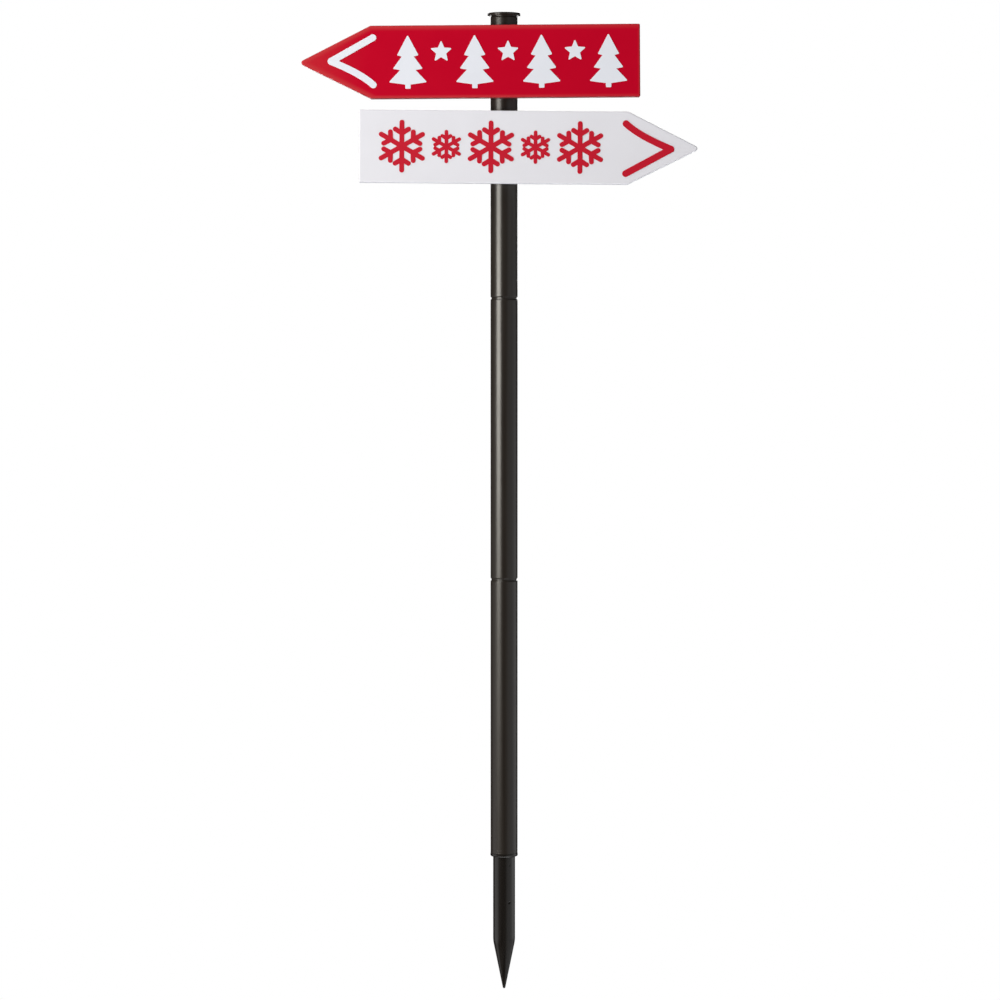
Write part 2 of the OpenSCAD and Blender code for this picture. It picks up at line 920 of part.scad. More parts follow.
// The end inside a board: out of the bush at height z, then up into the socket. A short lap
// joins it to the rest, which the board's droop tilts against it
module lead_end(z) {
    translate([0, rise_y + lead_bend_r, z]) {
        bend_up(lead_bend_r);
        y_rod(lead_r, 0, lead_lap);
    }
    translate([0, rise_y, z + lead_bend_r])
        cylinder(h = socket_z + socket_len - socket_bottom_t - lead_end_gap - z - lead_bend_r,
                 r = lead_r);
}

// From a board's end through the bush to the post's axis, where it turns up. Height z is the axis
module lead_entry() {
    y_rod(lead_r, rise_y + lead_bend_r, -post_bend_r);
    translate([0, -post_bend_r, 0])
        mirror([0, 1, 0])
            bend_up(post_bend_r);
}

module solar_lead() {
    color([0.1, 0.1, 0.1]) {
        on_red_board()
            lead_end(lead_offset);
        translate([0, 0, red_z + lead_offset])
            lead_entry();
        start_z = red_z + lead_offset + post_bend_r;
        translate([0, 0, start_z])
            cylinder(h = cell_z - start_z, r = lead_r);
    }
}

module sign_link_lead() {
    color([0.1, 0.1, 0.1]) {
        on_red_board()
            mirror([0, 0, 1])
                lead_end(lead_offset);
        translate([0, 0, red_z - lead_offset])
            mirror([0, 0, 1])
                lead_entry();
        on_white_board()
            lead_end(0);
        translate([0, 0, white_z])
            lead_entry();
        low_z = white_z + post_bend_r;
        translate([0, 0, low_z])
            cylinder(h = red_z - lead_offset - post_bend_r - low_z, r = lead_r);
    }
}

// Battery box on the back of the red board

// Frame of the battery box: +X from its near end towards the board's square end,
// y = 0 on the cover's outer face and z = 0 through the battery's axis
module in_battery_box() {
    translate([-battery_box_from_post, back_y, -electrics_drop])
        mirror([1, 0, 0])
            children();
}

module battery_box() {
    slab(box_depth, box_depth + cut)
        rounded_rectangle([0, -box_h / 2], [box_len + 2 * box_corner_r, box_h / 2], box_corner_r);
    slab(box_depth + gasket_t, box_depth + gasket_t + cut)
        rounded_rectangle([box_len, -box_h / 2], [door_len, box_h / 2], box_corner_r);
}

module battery_box_holes() {
    slab(box_depth + cut, box_depth + cut)
        square_xz(box_wall, box_len - box_wall, box_in_h);
    slab(box_depth + gasket_t + cut, gasket_t + cut)
        square_xz(box_wall, box_len - seat_gap, box_in_h);
    for (x = [box_wall, far_contact_x])
        slab(cut, cover_t + 2 * cut)
            square_xz(x - seat_gap, x + contact_t + 2 * seat_gap, contact_w + 2 * seat_gap);
    slab(box_depth - tab_drop + seat_gap, tab_h + 2 * seat_gap)
        square_xz(-cut, box_wall + cut, tab_w + 4 * seat_gap);
    translate([box_len + door_block_len / 2, 0, 0])
        y_rod(case_screw_d / 2 + thread_gap, box_depth + gasket_t + door_t - door_screw_len
              - door_screw_room, box_depth + gasket_t + cut);
}

// A rectangle from x = low to x = high, centred in Z
module square_xz(low, high, height) {
    translate([low, -height / 2])
        square([high - low, height]);
}

module battery() {
    color([0.25, 0.55, 0.3])
        on_red_board()
            in_battery_box()
                translate([battery_x, box_depth / 2, 0])
                    rotate([0, 90, 0]) {
                        translate([0, 0, battery_nub_len])
                            cylinder(h = battery_len - battery_nub_len, r = battery_d / 2);
                        cylinder(h = battery_nub_len + cut, r = battery_nub_r);
                    }
}

// Conical contact spring: the first and last turns lie flat
function spring_point(turn) =
    let (rise = max(0, min(1, (turn - 1) / (spring_turns - 2))),
         r = spring_small_r + spring_spread * rise)
    [spring_wire / 2 + (spring_len - spring_wire) * rise, r * cos(360 * turn), r * sin(360 * turn)];

module battery_spring() {
    sides = 8;
    per_turn = 14;
    last = per_turn * spring_turns;
    rings = [for (i = [0 : last])
        let (p = spring_point(i / per_turn),
             along = unit(spring_point((i + 0.5) / per_turn) - spring_point((i - 0.5) / per_turn)),
             across = unit([0, p[1], p[2]]),
             aside = cross(along, across))
        [for (k = [0 : sides - 1])
            p + spring_wire / 2 * (across * cos(360 * k / sides) + aside * sin(360 * k / sides))]];
    color(STEEL)
        on_red_board()
            in_battery_box()
                translate([battery_x + battery_len, box_depth / 2, 0])
                    polyhedron(
                        points = [for (ring = rings) each ring],
                        faces = concat(
                            [[for (k = [0 : sides - 1]) k]],
                            [for (i = [0 : last - 1], k = [0 : sides - 1])
                                let (a = i * sides + k, b = i * sides + (k + 1) % sides)
                                [b, a, a + sides, b + sides]],
                            [[for (k = [sides - 1 : -1 : 0]) last * sides + k]]));
}

// The near contact reaches the control board and the far one the battery lead
module battery_contacts() {
    color([0.8, 0.76, 0.6])
        on_red_board()
            in_battery_box()
                for (x = [box_wall, far_contact_x])
                    translate([x, 0, 0]) {
                        translate([0, battery_gap, -contact_plate_w / 2])
                            cube([contact_t, box_depth - contact_plate_drop - battery_gap,
                                  contact_plate_w]);
                        translate([0, seat_gap - cover_t - board_stand, -contact_w / 2])
                            cube([contact_t, cover_t + board_stand + contact_foot_lap, contact_w]);
                    }
}

// A wire that runs along the back of the control board's edge to the far contact
module battery_lead() {
    start_x = -battery_box_from_post - far_contact_x + seat_gap;
    color([0.75, 0.1, 0.1])
        on_red_board()
            translate([start_x, control_back_y + battery_lead_r, -electrics_drop])
                rotate([0, 90, 0])
                    cylinder(h = control_post_x[0] + battery_lead_lap - start_x, r = battery_lead_r);
}

module battery_door() {
    under_y = box_depth + gasket_t;
    tab_y = box_depth - tab_drop - tab_h;
    color(RED)
        on_red_board()
            in_battery_box()
                difference() {
                    union() {
                        slab(under_y + door_t, door_t)
                            rounded_rectangle([0, -box_h / 2], [door_len, box_h / 2], door_corner_r);
                        translate([box_wall + seat_gap, tab_y, -tab_w / 2])
                            cube([tab_h, under_y - tab_y + cut, tab_w]);
                        translate([seat_gap, tab_y, -tab_w / 2])
                            cube([box_wall + tab_h, tab_h, tab_w]);
                    }
                    translate([box_len + door_block_len / 2, 0, 0])
                        y_rod(case_screw_d / 2 + screw_hole_gap, under_y - cut, under_y + door_t + cut);
                }
}

module battery_door_screw() {
    color(STEEL)
        on_red_board()
            in_battery_box()
                translate([box_len + door_block_len / 2, box_depth + gasket_t + door_t, 0])
                    pan_screw(case_screw_d / 2, door_screw_len, case_head_d / 2, case_head_h);
}

module battery_door_gasket() {
    color([0.12, 0.12, 0.12])
        on_red_board()
            in_battery_box()
                slab(box_depth + gasket_t, gasket_t)
                    difference() {
                        square_xz(seat_gap, box_len - 2 * seat_gap, box_h - 2 * seat_gap);
                        square_xz(box_wall, box_len - box_wall, box_in_h);
                    }
}

// Control board and switch inside the red board

// The two screw posts stand at opposite corners of the control board
module at_control_posts() {
    for (i = [0, 1])
        translate([control_post_x[i], 0, (2 * i - 1) * control_screw_dz - electrics_drop])
            children();
}

module control_posts() {
    at_control_posts()
        y_rod(control_post_r, control_back_y, inner_y + cut);
}

module control_post_holes() {
    at_control_posts()
        y_rod(control_screw_r + thread_gap, control_back_y - cut, inner_y);
}

module control_board() {
    low = [control_x - control_len / 2, -electrics_drop - control_h / 2];
    color(GREEN)
        on_red_board()
            difference() {
                union() {
                    slab(control_back_y, control_board_t)
                        rounded_rectangle(low, low + [control_len, control_h], control_corner_r);
                    translate([control_x + chip_offset, control_front_y - chip_size[1],
                               -electrics_drop - parts_drop])
                        cube(chip_size + [0, cut, 0]);
                    translate([control_x + coil_offset, 0, -electrics_drop - parts_drop])
                        y_rod(coil_r, control_front_y - coil_h, control_front_y + cut);
                }
                at_control_posts()
                    y_rod(control_screw_r + screw_hole_gap / 2, control_front_y - cut, control_back_y + cut);
            }
}

module control_board_screws() {
    color(STEEL)
        on_red_board()
            at_control_posts()
                translate([0, control_front_y, 0])
                    mirror([0, 1, 0])
                        pan_screw(control_screw_r, control_board_t + board_stand - control_screw_room,
                                  control_head_r, control_head_h);
}

// Flat lead that folds over the control board's edge and back to the LED board
module board_ribbon() {
    led_face_y = inner_y - led_board_t;
    edge_z = -electrics_drop + control_h / 2;
    fold_z = edge_z + ribbon_gap;
    color([0.8, 0.8, 0.82])
        on_red_board()
            translate([control_x - ribbon_w / 2, 0, 0]) {
                translate([0, control_front_y - ribbon_t, edge_z - ribbon_lap])
                    cube([ribbon_w, ribbon_t, fold_z + ribbon_t - edge_z + ribbon_lap]);
                translate([0, control_front_y - ribbon_t, fold_z])
                    cube([ribbon_w, led_face_y - control_front_y + ribbon_t, ribbon_t]);
                translate([0, led_face_y - ribbon_t, fold_z])
                    cube([ribbon_w, ribbon_t, ribbon_lap]);
            }
}

// Frame of the switch: the origin is on the control board, under the middle of the slider's travel
module at_switch() {
    translate([-switch_from_post, control_back_y, -electrics_drop])
        children();
}

// A box centred in X and Z on the frame's origin, from y = low upwards
module centred_box(size, low) {
    translate([-size[0] / 2, low, -size[2] / 2])
        cube(size);
}

module switch_body() {
    room = [slider_base[0] + switch_travel + 2 * slider_play,
            slider_base[1] + 2 * slider_play, slider_base[2] + 2 * slider_play];
    color([0.6, 0.6, 0.62])
        on_red_board()
            at_switch()
                difference() {
                    centred_box(switch_size, 0);
                    centred_box(room, slider_lift - slider_play);
                    centred_box([thumb_len + switch_travel + 2 * slider_play, switch_size[1],
                                 thumb_w + 2 * slider_play], slider_lift);
                }
}

module switch_slider() {
    thumb_h = board_stand + cover_t + thumb_rise - slider_lift;
    color([0.06, 0.06, 0.06])
        on_red_board()
            at_switch()
                translate([-switch_travel / 2, 0, 0])
                    difference() {
                        union() {
                            centred_box(slider_base, slider_lift);
                            centred_box([thumb_len, thumb_h, thumb_w], slider_lift);
                        }
                        for (i = [-1, 1])
                            translate([i * thumb_len / 5, slider_lift + thumb_h, 0])
                                centred_box([thumb_len / 8, cut + thumb_groove, thumb_w + cut],
                                            -thumb_groove);
                    }
}

// The slot for the slider, in a shallow thumb recess
module switch_window() {
    slot_h = thumb_w + slot_room;
    slot_len = thumb_len + switch_travel + slot_room;
    recess = [slot_len / 2 + recess_margin, slot_h / 2 + recess_margin];
    translate([-switch_from_post, 0, -electrics_drop]) {
        slab(back_y + cut, cover_t + 2 * cut)
            square_xz(-slot_len / 2, slot_len / 2, slot_h);
        slab(back_y + cut, recess_depth + cut)
            rounded_rectangle(-recess, recess, recess_corner_r);
    }
}

// Printed marks on the faces

// Outline of an open line of points, a hair wide
module hairline(points) {
    n = len(points);
    sides = [for (i = [0 : n - 1])
        let (d = unit(points[min(i + 1, n - 1)] - points[max(i - 1, 0)])) [-d[1], d[0]] * hair / 2];
    polygon(concat([for (i = [0 : n - 1]) points[i] + sides[i]],
                   [for (i = [n - 1 : -1 : 0]) points[i] - sides[i]]));
}

// Lines of points, widened together to a stroke with round ends and bends
module stroke(lines, width) {
    offset(r = (width - hair) / 2)
        for (line = lines)
            hairline(line);
}

// A chevron with its bend at the origin: the upper arm is curved and the lower one straight
module chevron(length, height) {
    top = [-length, height / 2 + chevron_lift];
    low = [-length, chevron_lift - height / 2];
    handle = [-length * chevron_handle[0], height * chevron_handle[1]];
    curve = [for (t = [0 : 0.125 : 1]) top * (1 - t) * (1 - t) + handle * 2 * t * (1 - t)];
    stroke([curve, [[0, 0], low]], chevron_stroke, $fn = 32);
}

module print_on_face() {
    slab(front_y, print_t)
        children();
}

module red_sign_arrow() {
    color(WHITE)
        on_red_board()
            print_on_face()
                translate([print_room - red_tail + red_chevron_len, -chevron_offset])
                    mirror([0, 1])
                        chevron(red_chevron_len, red_chevron_h);
}

module white_sign_arrow() {
    color(PRINT_RED)
        on_white_board()
            print_on_face()
                translate([print_room - white_tail + white_chevron_len, chevron_offset])
                    chevron(white_chevron_len, white_chevron_h);
}

// A fir tree of three tiers on a short trunk, centred on the origin
module fir_tree() {
    tier_h = tree_h * tier_share;
    offset(r = tree_corner_r)
        offset(r = -tree_corner_r) {
            for (i = [0 : 2]) {
                half_w = tree_w / 2 * (top_tier_share + tier_growth * i);
                low = tree_h / 2 - tier_h - i * tree_h * tier_step;
                polygon([[-half_w, low], [0, low - tree_h * tier_notch], [half_w, low],
                         [0, low + tier_h]]);
            }
            translate([-tree_w * trunk_share / 2, -tree_h / 2])
                square([tree_w * trunk_share, tree_h * trunk_rise]);
        }
}

// A five pointed star with blunt points, centred on the origin
module star() {
    tips = 5;
    offset(r = star_corner_r)
        offset(r = -star_corner_r)
            polygon([for (i = [0 : 2 * tips - 1])
                let (r = star_d / 2 * (i % 2 == 0 ? 1 : star_inner_share), a = 90 + 180 * i / tips)
                [r * cos(a), r * sin(a)]]);
}

module red_sign_trees() {
    pitch = (print_room - tree_from_end - tree_from_arrow) / (tree_count - 1);
    color(WHITE)
        on_red_board()
            print_on_face()
                translate([tree_from_end - red_tail, 0]) {
                    for (i = [0 : tree_count - 1])
                        translate([i * pitch, 0])
                            fir_tree($fn = 16);
                    for (i = [0.5 : tree_count - 1.5])
                        translate([i * pitch, star_rise])
                            star($fn = 16);
                }
}

// A snowflake of six arms, each with a pair of twigs
module snowflake(d, stroke_w) {
    arm = (d - stroke_w) / 2;
    fork = arm * fork_share;
    twig = arm * twig_share;
    lines = [for (turn = [30 : 60 : 330])
        let (u = [cos(turn), sin(turn)], v = [-u[1], u[0]])
        each concat([[[0, 0], u * arm]],
                    [for (side = [-1, 1])
                        [u * fork, u * fork + (u * cos(twig_angle) + v * side * sin(twig_angle)) * twig]])];
    stroke(lines, stroke_w, $fn = 24);
}

module white_sign_snowflakes() {
    pitch = (print_room - flake_from_end - flake_from_arrow) / (flake_count - 1);
    color(PRINT_RED)
        on_white_board()
            print_on_face()
                for (i = [0 : flake_count - 1])
                    translate([flake_from_end - white_tail + i * pitch, 0])
                        if (i % 2 == 0)
                            snowflake(flake_d, flake_stroke);
                        else
                            snowflake(small_flake_d, small_flake_stroke);
}

solar_cap_housing();
solar_cell();
cell_window();
cap_seal_ring();
post_tube_top();
post_tube_middle();
post_tube_bottom();
post_coupler_upper();
post_coupler_lower();
ground_spike();
red_sign_front();
red_sign_arrow();
red_sign_trees();
red_sign_back();
red_sign_clamp();
red_sign_clamp_screws();
red_sign_case_screws();
red_sign_led_board();
red_sign_leds();
red_sign_lead_bush();
white_sign_front();
white_sign_arrow();
white_sign_snowflakes();
white_sign_back();
white_sign_clamp();
white_sign_clamp_screws();
white_sign_case_screws();
white_sign_led_board();
white_sign_leds();
white_sign_lead_bush();
battery();
battery_spring();
battery_contacts();
battery_lead();
battery_door();
battery_door_screw();
battery_door_gasket();
control_board();
control_board_screws();
board_ribbon();
switch_body();
switch_slider();
solar_lead();
sign_link_lead();
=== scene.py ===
"""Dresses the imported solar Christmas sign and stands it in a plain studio.

Metres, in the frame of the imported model: +Z is up the post, the boards face -Y, and the origin is
on the post's axis where the ground spike's shank meets its collar.
"""

import json
import logging
import math
from dataclasses import dataclass, field
from enum import Enum
from typing import Callable, Iterable, Mapping, Optional, Sequence, Union

import bmesh
import bpy
from bmesh.types import BMesh, BMVert
from bpy.types import ID, Material, Mesh, Node, NodeSocket, NodeTree, Object
from mathutils import Matrix, Vector

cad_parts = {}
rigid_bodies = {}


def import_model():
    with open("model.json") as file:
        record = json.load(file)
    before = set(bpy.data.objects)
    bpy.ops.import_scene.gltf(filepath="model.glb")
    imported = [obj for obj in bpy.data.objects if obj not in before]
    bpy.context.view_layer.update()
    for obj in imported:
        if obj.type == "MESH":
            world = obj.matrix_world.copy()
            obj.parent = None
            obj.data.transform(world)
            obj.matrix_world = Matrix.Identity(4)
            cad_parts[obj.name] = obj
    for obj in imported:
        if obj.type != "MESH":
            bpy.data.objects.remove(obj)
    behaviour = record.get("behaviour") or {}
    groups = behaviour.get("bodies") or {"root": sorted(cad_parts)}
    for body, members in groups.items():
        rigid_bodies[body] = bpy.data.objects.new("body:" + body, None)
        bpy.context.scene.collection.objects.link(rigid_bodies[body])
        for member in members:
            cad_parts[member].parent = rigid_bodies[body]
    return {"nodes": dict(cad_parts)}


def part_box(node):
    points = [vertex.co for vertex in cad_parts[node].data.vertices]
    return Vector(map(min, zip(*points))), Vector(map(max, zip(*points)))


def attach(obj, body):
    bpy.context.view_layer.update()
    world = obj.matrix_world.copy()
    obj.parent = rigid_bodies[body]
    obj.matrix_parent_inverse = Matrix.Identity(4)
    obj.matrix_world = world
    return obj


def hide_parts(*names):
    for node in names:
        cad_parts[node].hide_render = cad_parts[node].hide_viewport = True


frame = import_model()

LOG = logging.getLogger("solar_sign")
MM = 0.001
BRACE = 0.4 * MM
SEED = 12
SMOOTH_BELOW = math.radians(32.0)
WELD = 1e-6
WHITE = (1.0, 1.0, 1.0, 1.0)

Flat = tuple[float, float]
Point = tuple[float, float, float]
Colour = tuple[float, float, float]
Number = Union["Wire", float, int]
Inputs = Optional[Mapping[Union[str, int], object]]


# Node graphs


def maths(operation: str, flipped: bool = False) -> Callable[..., "Wire"]:
    """A method of Wire that adds one Math node.

    Args:
        operation: The node's operation.
        flipped: Whether the wire is the node's second value.

    Returns:
        The method.
    """
    def method(self: "Wire", other: Number = 0.0) -> "Wire":
        """The node's result."""
        return self.graph.math(operation, *((other, self) if flipped else (self, other)))

    return method


class Wire:
    """One output socket of a node graph. Arithmetic on it adds Math nodes."""

    __add__, __radd__ = maths("ADD"), maths("ADD", True)
    __sub__, __rsub__ = maths("SUBTRACT"), maths("SUBTRACT", True)
    __mul__, __rmul__ = maths("MULTIPLY"), maths("MULTIPLY", True)
    __truediv__, __abs__ = maths("DIVIDE"), maths("ABSOLUTE")
    least, most = maths("MINIMUM"), maths("MAXIMUM")

    def __init__(self, graph: "Graph", socket: NodeSocket) -> None:
        """Keeps an output socket, and the graph that new nodes go into."""
        self.graph = graph
        self.socket = socket

    def __neg__(self) -> "Wire":
        """-self."""
        return self * -1.0

    def ramp(self, low: float, high: float) -> "Wire":
        """A smooth step from 0 at low to 1 at high."""
        return self.graph.wire(
            "ShaderNodeMapRange", {"Value": self, "From Min": low, "From Max": high}, "Result",
            interpolation_type="SMOOTHSTEP")


class Graph:
    """Adds nodes to a node tree."""

    def __init__(self, tree: NodeTree) -> None:
        """Keeps the tree, of a shader or of geometry."""
        self.tree = tree

    def node(self, kind: str, inputs: Inputs = None, **settings: object) -> Node:
        """Adds one node, sets it up and then feeds its sockets.

        Args:
            kind: The node's type.
            inputs: Values or wires for its input sockets, by name or number.
            settings: Its own properties, such as an operation.

        Returns:
            The node.
        """
        made = self.tree.nodes.new(kind)
        for name, value in settings.items():
            setattr(made, name, value)
        for key, value in (inputs or {}).items():
            if isinstance(value, Wire):
                self.tree.links.new(value.socket, made.inputs[key])
            else:
                made.inputs[key].default_value = value
        return made

    def wire(self, kind: str, inputs: Inputs = None, out: Union[str, int] = 0,
             **settings: object) -> Wire:
        """Adds a node as node() does and returns one of its outputs."""
        return Wire(self, self.node(kind, inputs, **settings).outputs[out])

    def math(self, operation: str, a: Number, b: Number = 0.0) -> Wire:
        """The result of one Math node on one or two values."""
        return self.wire("ShaderNodeMath", {0: a, 1: b}, operation=operation)

    def vector(self, x: Number = 0.0, y: Number = 0.0, z: Number = 0.0) -> Wire:
        """A vector of three values."""
        return self.wire("ShaderNodeCombineXYZ", {"X": x, "Y": y, "Z": z})

    def split(self, vector: Wire) -> tuple[Wire, Wire, Wire]:
        """The three values of a vector."""
        made = self.node("ShaderNodeSeparateXYZ", {0: vector})
        return tuple(Wire(self, made.outputs[i]) for i in range(3))


class Shader(Graph):
    """A material's node tree with the few patterns that the finishes share."""

    def __init__(self, name: str) -> None:
        """Makes an empty material.

        Args:
            name: The material's name.
        """
        self.material = bpy.data.materials.new(name)
        self.material.use_nodes = True
        super().__init__(self.material.node_tree)
        self.tree.nodes.clear()
        self.place = self.wire("ShaderNodeTexCoord", out="Object")

    def mapped(self, place: Point, turn: float) -> Wire:
        """Object coordinates with the place as their origin, then turned about Y in radians."""
        moved = self.wire("ShaderNodeMapping",
                          {"Vector": self.place, "Location": tuple(-c for c in place)})
        return self.wire("ShaderNodeMapping", {"Vector": moved, "Rotation": (0.0, turn, 0.0)})

    def noise(self, per_metre: float, detail: float = 3.0,
              stretch: Point = (1.0, 1.0, 1.0)) -> Wire:
        """Soft noise from 0 to 1, drawn out along the axes where the stretch is below 1."""
        at = self.wire("ShaderNodeVectorMath", {0: self.place, 1: stretch}, operation="MULTIPLY")
        return self.wire("ShaderNodeTexNoise", {"Vector": at, "Scale": per_metre, "Detail": detail})

    def mix(self, share: Number, a: Union[Wire, Colour], b: Union[Wire, Colour]) -> Wire:
        """A colour between a, where share is 0, and b, where it is 1."""
        first, second = (c if isinstance(c, Wire) else (*c, 1.0) for c in (a, b))
        return self.wire("ShaderNodeMix", {0: share, 6: first, 7: second}, 2, data_type="RGBA")

    def bump(self, height: Wire, distance: float) -> Wire:
        """A normal from a height of 0 to 1 that stands for a distance in metres."""
        return self.wire("ShaderNodeBump", {
            "Height": height, "Distance": distance, "Strength": 1.0})

    def close(self, **inputs: object) -> Material:
        """Adds the surface shader and the output.

        Args:
            inputs: The shader's sockets, with underscores for their spaces. A colour is 3 numbers.

        Returns:
            The finished material.
        """
        fed = {name.replace("_", " "): (*value, 1.0) if isinstance(value, tuple) else value
               for name, value in inputs.items()}
        surface = self.wire("ShaderNodeBsdfPrincipled", fed)
        self.node("ShaderNodeOutputMaterial", {"Surface": surface})
        return self.material


# Finishes


@dataclass(frozen=True)
class Finish:
    """A surface: its record slot, colour and gloss, and the fine grain that all of them have."""

    name: str
    slot: str
    colour: Colour
    roughness: float = 0.4
    grain: float = 0.02 * MM

    def shades(self, darker: float, lighter: float) -> tuple[Colour, Colour]:
        """The colour made darker and made lighter."""
        return tuple(tuple(min(1.0, c * k) for c in self.colour) for k in (darker, lighter))

    def build(self) -> Material:
        """Makes the material: soft blotches in the colour and gloss over a fine grain.

        Returns:
            The material.
        """
        sh = Shader(self.name)
        cloud = sh.noise(60.0)
        return sh.close(
            Base_Color=sh.mix(cloud, *self.shades(0.88, 1.1)),
            Roughness=self.roughness * (0.88 + 0.24 * cloud),
            Normal=sh.bump(sh.noise(1800.0, 2.0), self.grain),
        )


@dataclass(frozen=True)
class PostPlastic(Finish):
    """Satin dark plastic of the post: faint streaks along it, with light scuffs and dust."""

    specular: float = 0.5
    dust: Colour = (0.075, 0.066, 0.058)

    def build(self) -> Material:
        """Makes the material.

        Returns:
            The material.
        """
        sh = Shader(self.name)
        streak = sh.noise(420.0, 2.0, (1.0, 1.0, 0.012))
        cloud = sh.noise(35.0, 4.0)
        speck = sh.noise(900.0, 1.0).ramp(0.71, 0.8)
        scratch = sh.noise(700.0, 2.0, (1.0, 1.0, 0.05)).ramp(0.7, 0.78) * cloud.ramp(0.5, 0.65)
        worn = (0.22 * streak + 0.45 * scratch + 0.35 * speck).least(1.0)
        return sh.close(
            Base_Color=sh.mix(worn, self.colour, self.dust),
            Roughness=self.roughness * (0.86 + 0.2 * cloud + 0.14 * streak),
            Specular_IOR_Level=self.specular,
            Normal=sh.bump(0.6 * sh.noise(1500.0, 2.0) + 0.4 * streak, self.grain),
        )


@dataclass(frozen=True)
class BoardPlastic(Finish):
    """Translucent plastic of a board, with painted light and painted shade in its colour.

    A lighter band along the outline is painted light that stands for light through the plastic's
    edges; it is widest along the top and the point, narrowest at the square end and stronger
    towards the point, where the point end is painted lighter too. A darker rim along the edges is
    painted shade on their rounding.
    """

    # rim is the colour of the painted shade on the rounded edges; the next two fields give the
    # painted light along the outline and at the point end, and the widths say how far the painted
    # shade and the painted light reach in.
    rim: Colour = (0.3, 0.03, 0.04)
    painted_glow: Colour = (0.54, 0.034, 0.042)
    painted_tip_light: float = 0.0
    rim_shade_share: float = 0.5
    rim_shade_width: float = 1.1 * MM
    painted_light_width: float = 6.0 * MM
    specular: float = 0.15
    outline: Optional["BoardShape"] = None

    def build(self) -> Material:
        """Makes the material. Distances are worked out from the board's own outline.

        Returns:
            The material.
        """
        sh = Shader(self.name)
        board = self.outline
        along, _, height = sh.split(sh.mapped((0.0, 0.0, board.middle_z), -board.turn))
        if board.points_left:
            along = -along
        half = board.height / 2
        top, bottom, end = half - height, half + height, along + board.tail
        slant = ((board.tip - along) * math.sin(board.point_angle)
                 - abs(height) * math.cos(board.point_angle))
        edge = top.least(bottom).least(slant).least(end)
        wide = top.least(1.6 * bottom).least(slant).least(2.0 * end)
        cloud = sh.noise(28.0)
        share = (along + board.tail) / (board.tip + board.tail)
        # Painted light: a lighter band along the outline, stronger towards the point.
        painted_light_zone = (1.0 - wide.ramp(1.0 * MM, self.painted_light_width)) * share.ramp(-0.6, 0.6)
        # Painted shade: a darker line along the rounded edges.
        rim = 1.0 - edge.ramp(-0.2 * MM, self.rim_shade_width)
        tone = sh.mix(cloud, *self.shades(0.97, 1.03))
        # Painted light that lightens the point end.
        tone = sh.mix(share.ramp(0.78, 1.0) * self.painted_tip_light, tone, self.painted_glow)
        tone = sh.mix(painted_light_zone, tone, self.painted_glow)
        return sh.close(
            Base_Color=sh.mix(rim * self.rim_shade_share, tone, self.rim),
            Roughness=self.roughness * (0.9 + 0.2 * cloud),
            Specular_IOR_Level=self.specular,
            Normal=sh.bump(sh.noise(1300.0, 2.0), self.grain),
        )


@dataclass(frozen=True)
class Ink(Finish):
    """Raised screen print: even colour with a fine stipple, matter than the board."""

    specular: float = 0.3

    def build(self) -> Material:
        """Makes the material.

        Returns:
            The material.
        """
        sh = Shader(self.name)
        stipple = sh.noise(2600.0, 2.0)
        return sh.close(
            Base_Color=sh.mix(0.6 * sh.noise(40.0, 2.0) + 0.4 * stipple, *self.shades(0.95, 1.03)),
            Roughness=self.roughness * (0.9 + 0.2 * stipple),
            Specular_IOR_Level=self.specular,
            Normal=sh.bump(stipple, self.grain),
        )


@dataclass(frozen=True)
class Metal(Finish):
    """Plated metal with fine machining lines and a little tarnish."""

    tarnish: Colour = (0.3, 0.28, 0.25)

    def build(self) -> Material:
        """Makes the material.

        Returns:
            The material.
        """
        sh = Shader(self.name)
        dull = sh.noise(450.0, 4.0).ramp(0.5, 0.75)
        lines = sh.noise(2500.0, 1.0, (1.0, 0.08, 1.0))
        return sh.close(
            Base_Color=sh.mix(dull * 0.5, self.colour, self.tarnish),
            Metallic=1.0 - 0.15 * dull,
            Roughness=self.roughness * (0.8 + 0.3 * dull + 0.2 * lines),
            Normal=sh.bump(lines, self.grain),
        )


@dataclass(frozen=True)
class CellGlass(Finish):
    """Clear resin window over the solar cell, lightly scuffed."""

    alpha: float = 0.22
    scuffed: Colour = (0.8, 0.82, 0.85)

    def build(self) -> Material:
        """Makes the material.

        Returns:
            The material.
        """
        sh = Shader(self.name)
        scuff = sh.noise(500.0, 4.0).ramp(0.55, 0.8)
        return sh.close(
            Base_Color=sh.mix(scuff, self.colour, self.scuffed),
            Roughness=self.roughness * (0.6 + 1.8 * scuff),
            Alpha=self.alpha * (0.8 + 0.5 * scuff),
            Normal=sh.bump(sh.noise(90.0, 2.0), self.grain),
        )


@dataclass(frozen=True)
class Silicon(Finish):
    """Dark blue cell with crystal patches of slightly different blues."""

    patch: Colour = (0.02, 0.05, 0.17)
    patches_per_metre: float = 260.0
    coat: float = 0.6

    def build(self) -> Material:
        """Makes the material.

        Returns:
            The material.
        """
        sh = Shader(self.name)
        tone = sh.split(sh.wire("ShaderNodeTexVoronoi", {
            "Vector": sh.place, "Scale": self.patches_per_metre}, "Color"))[0]
        return sh.close(
            Base_Color=sh.mix(tone, self.colour, self.patch),
            Roughness=self.roughness * (0.8 + 0.4 * tone),
            Coat_Weight=self.coat,
            Normal=sh.bump(tone, self.grain),
        )


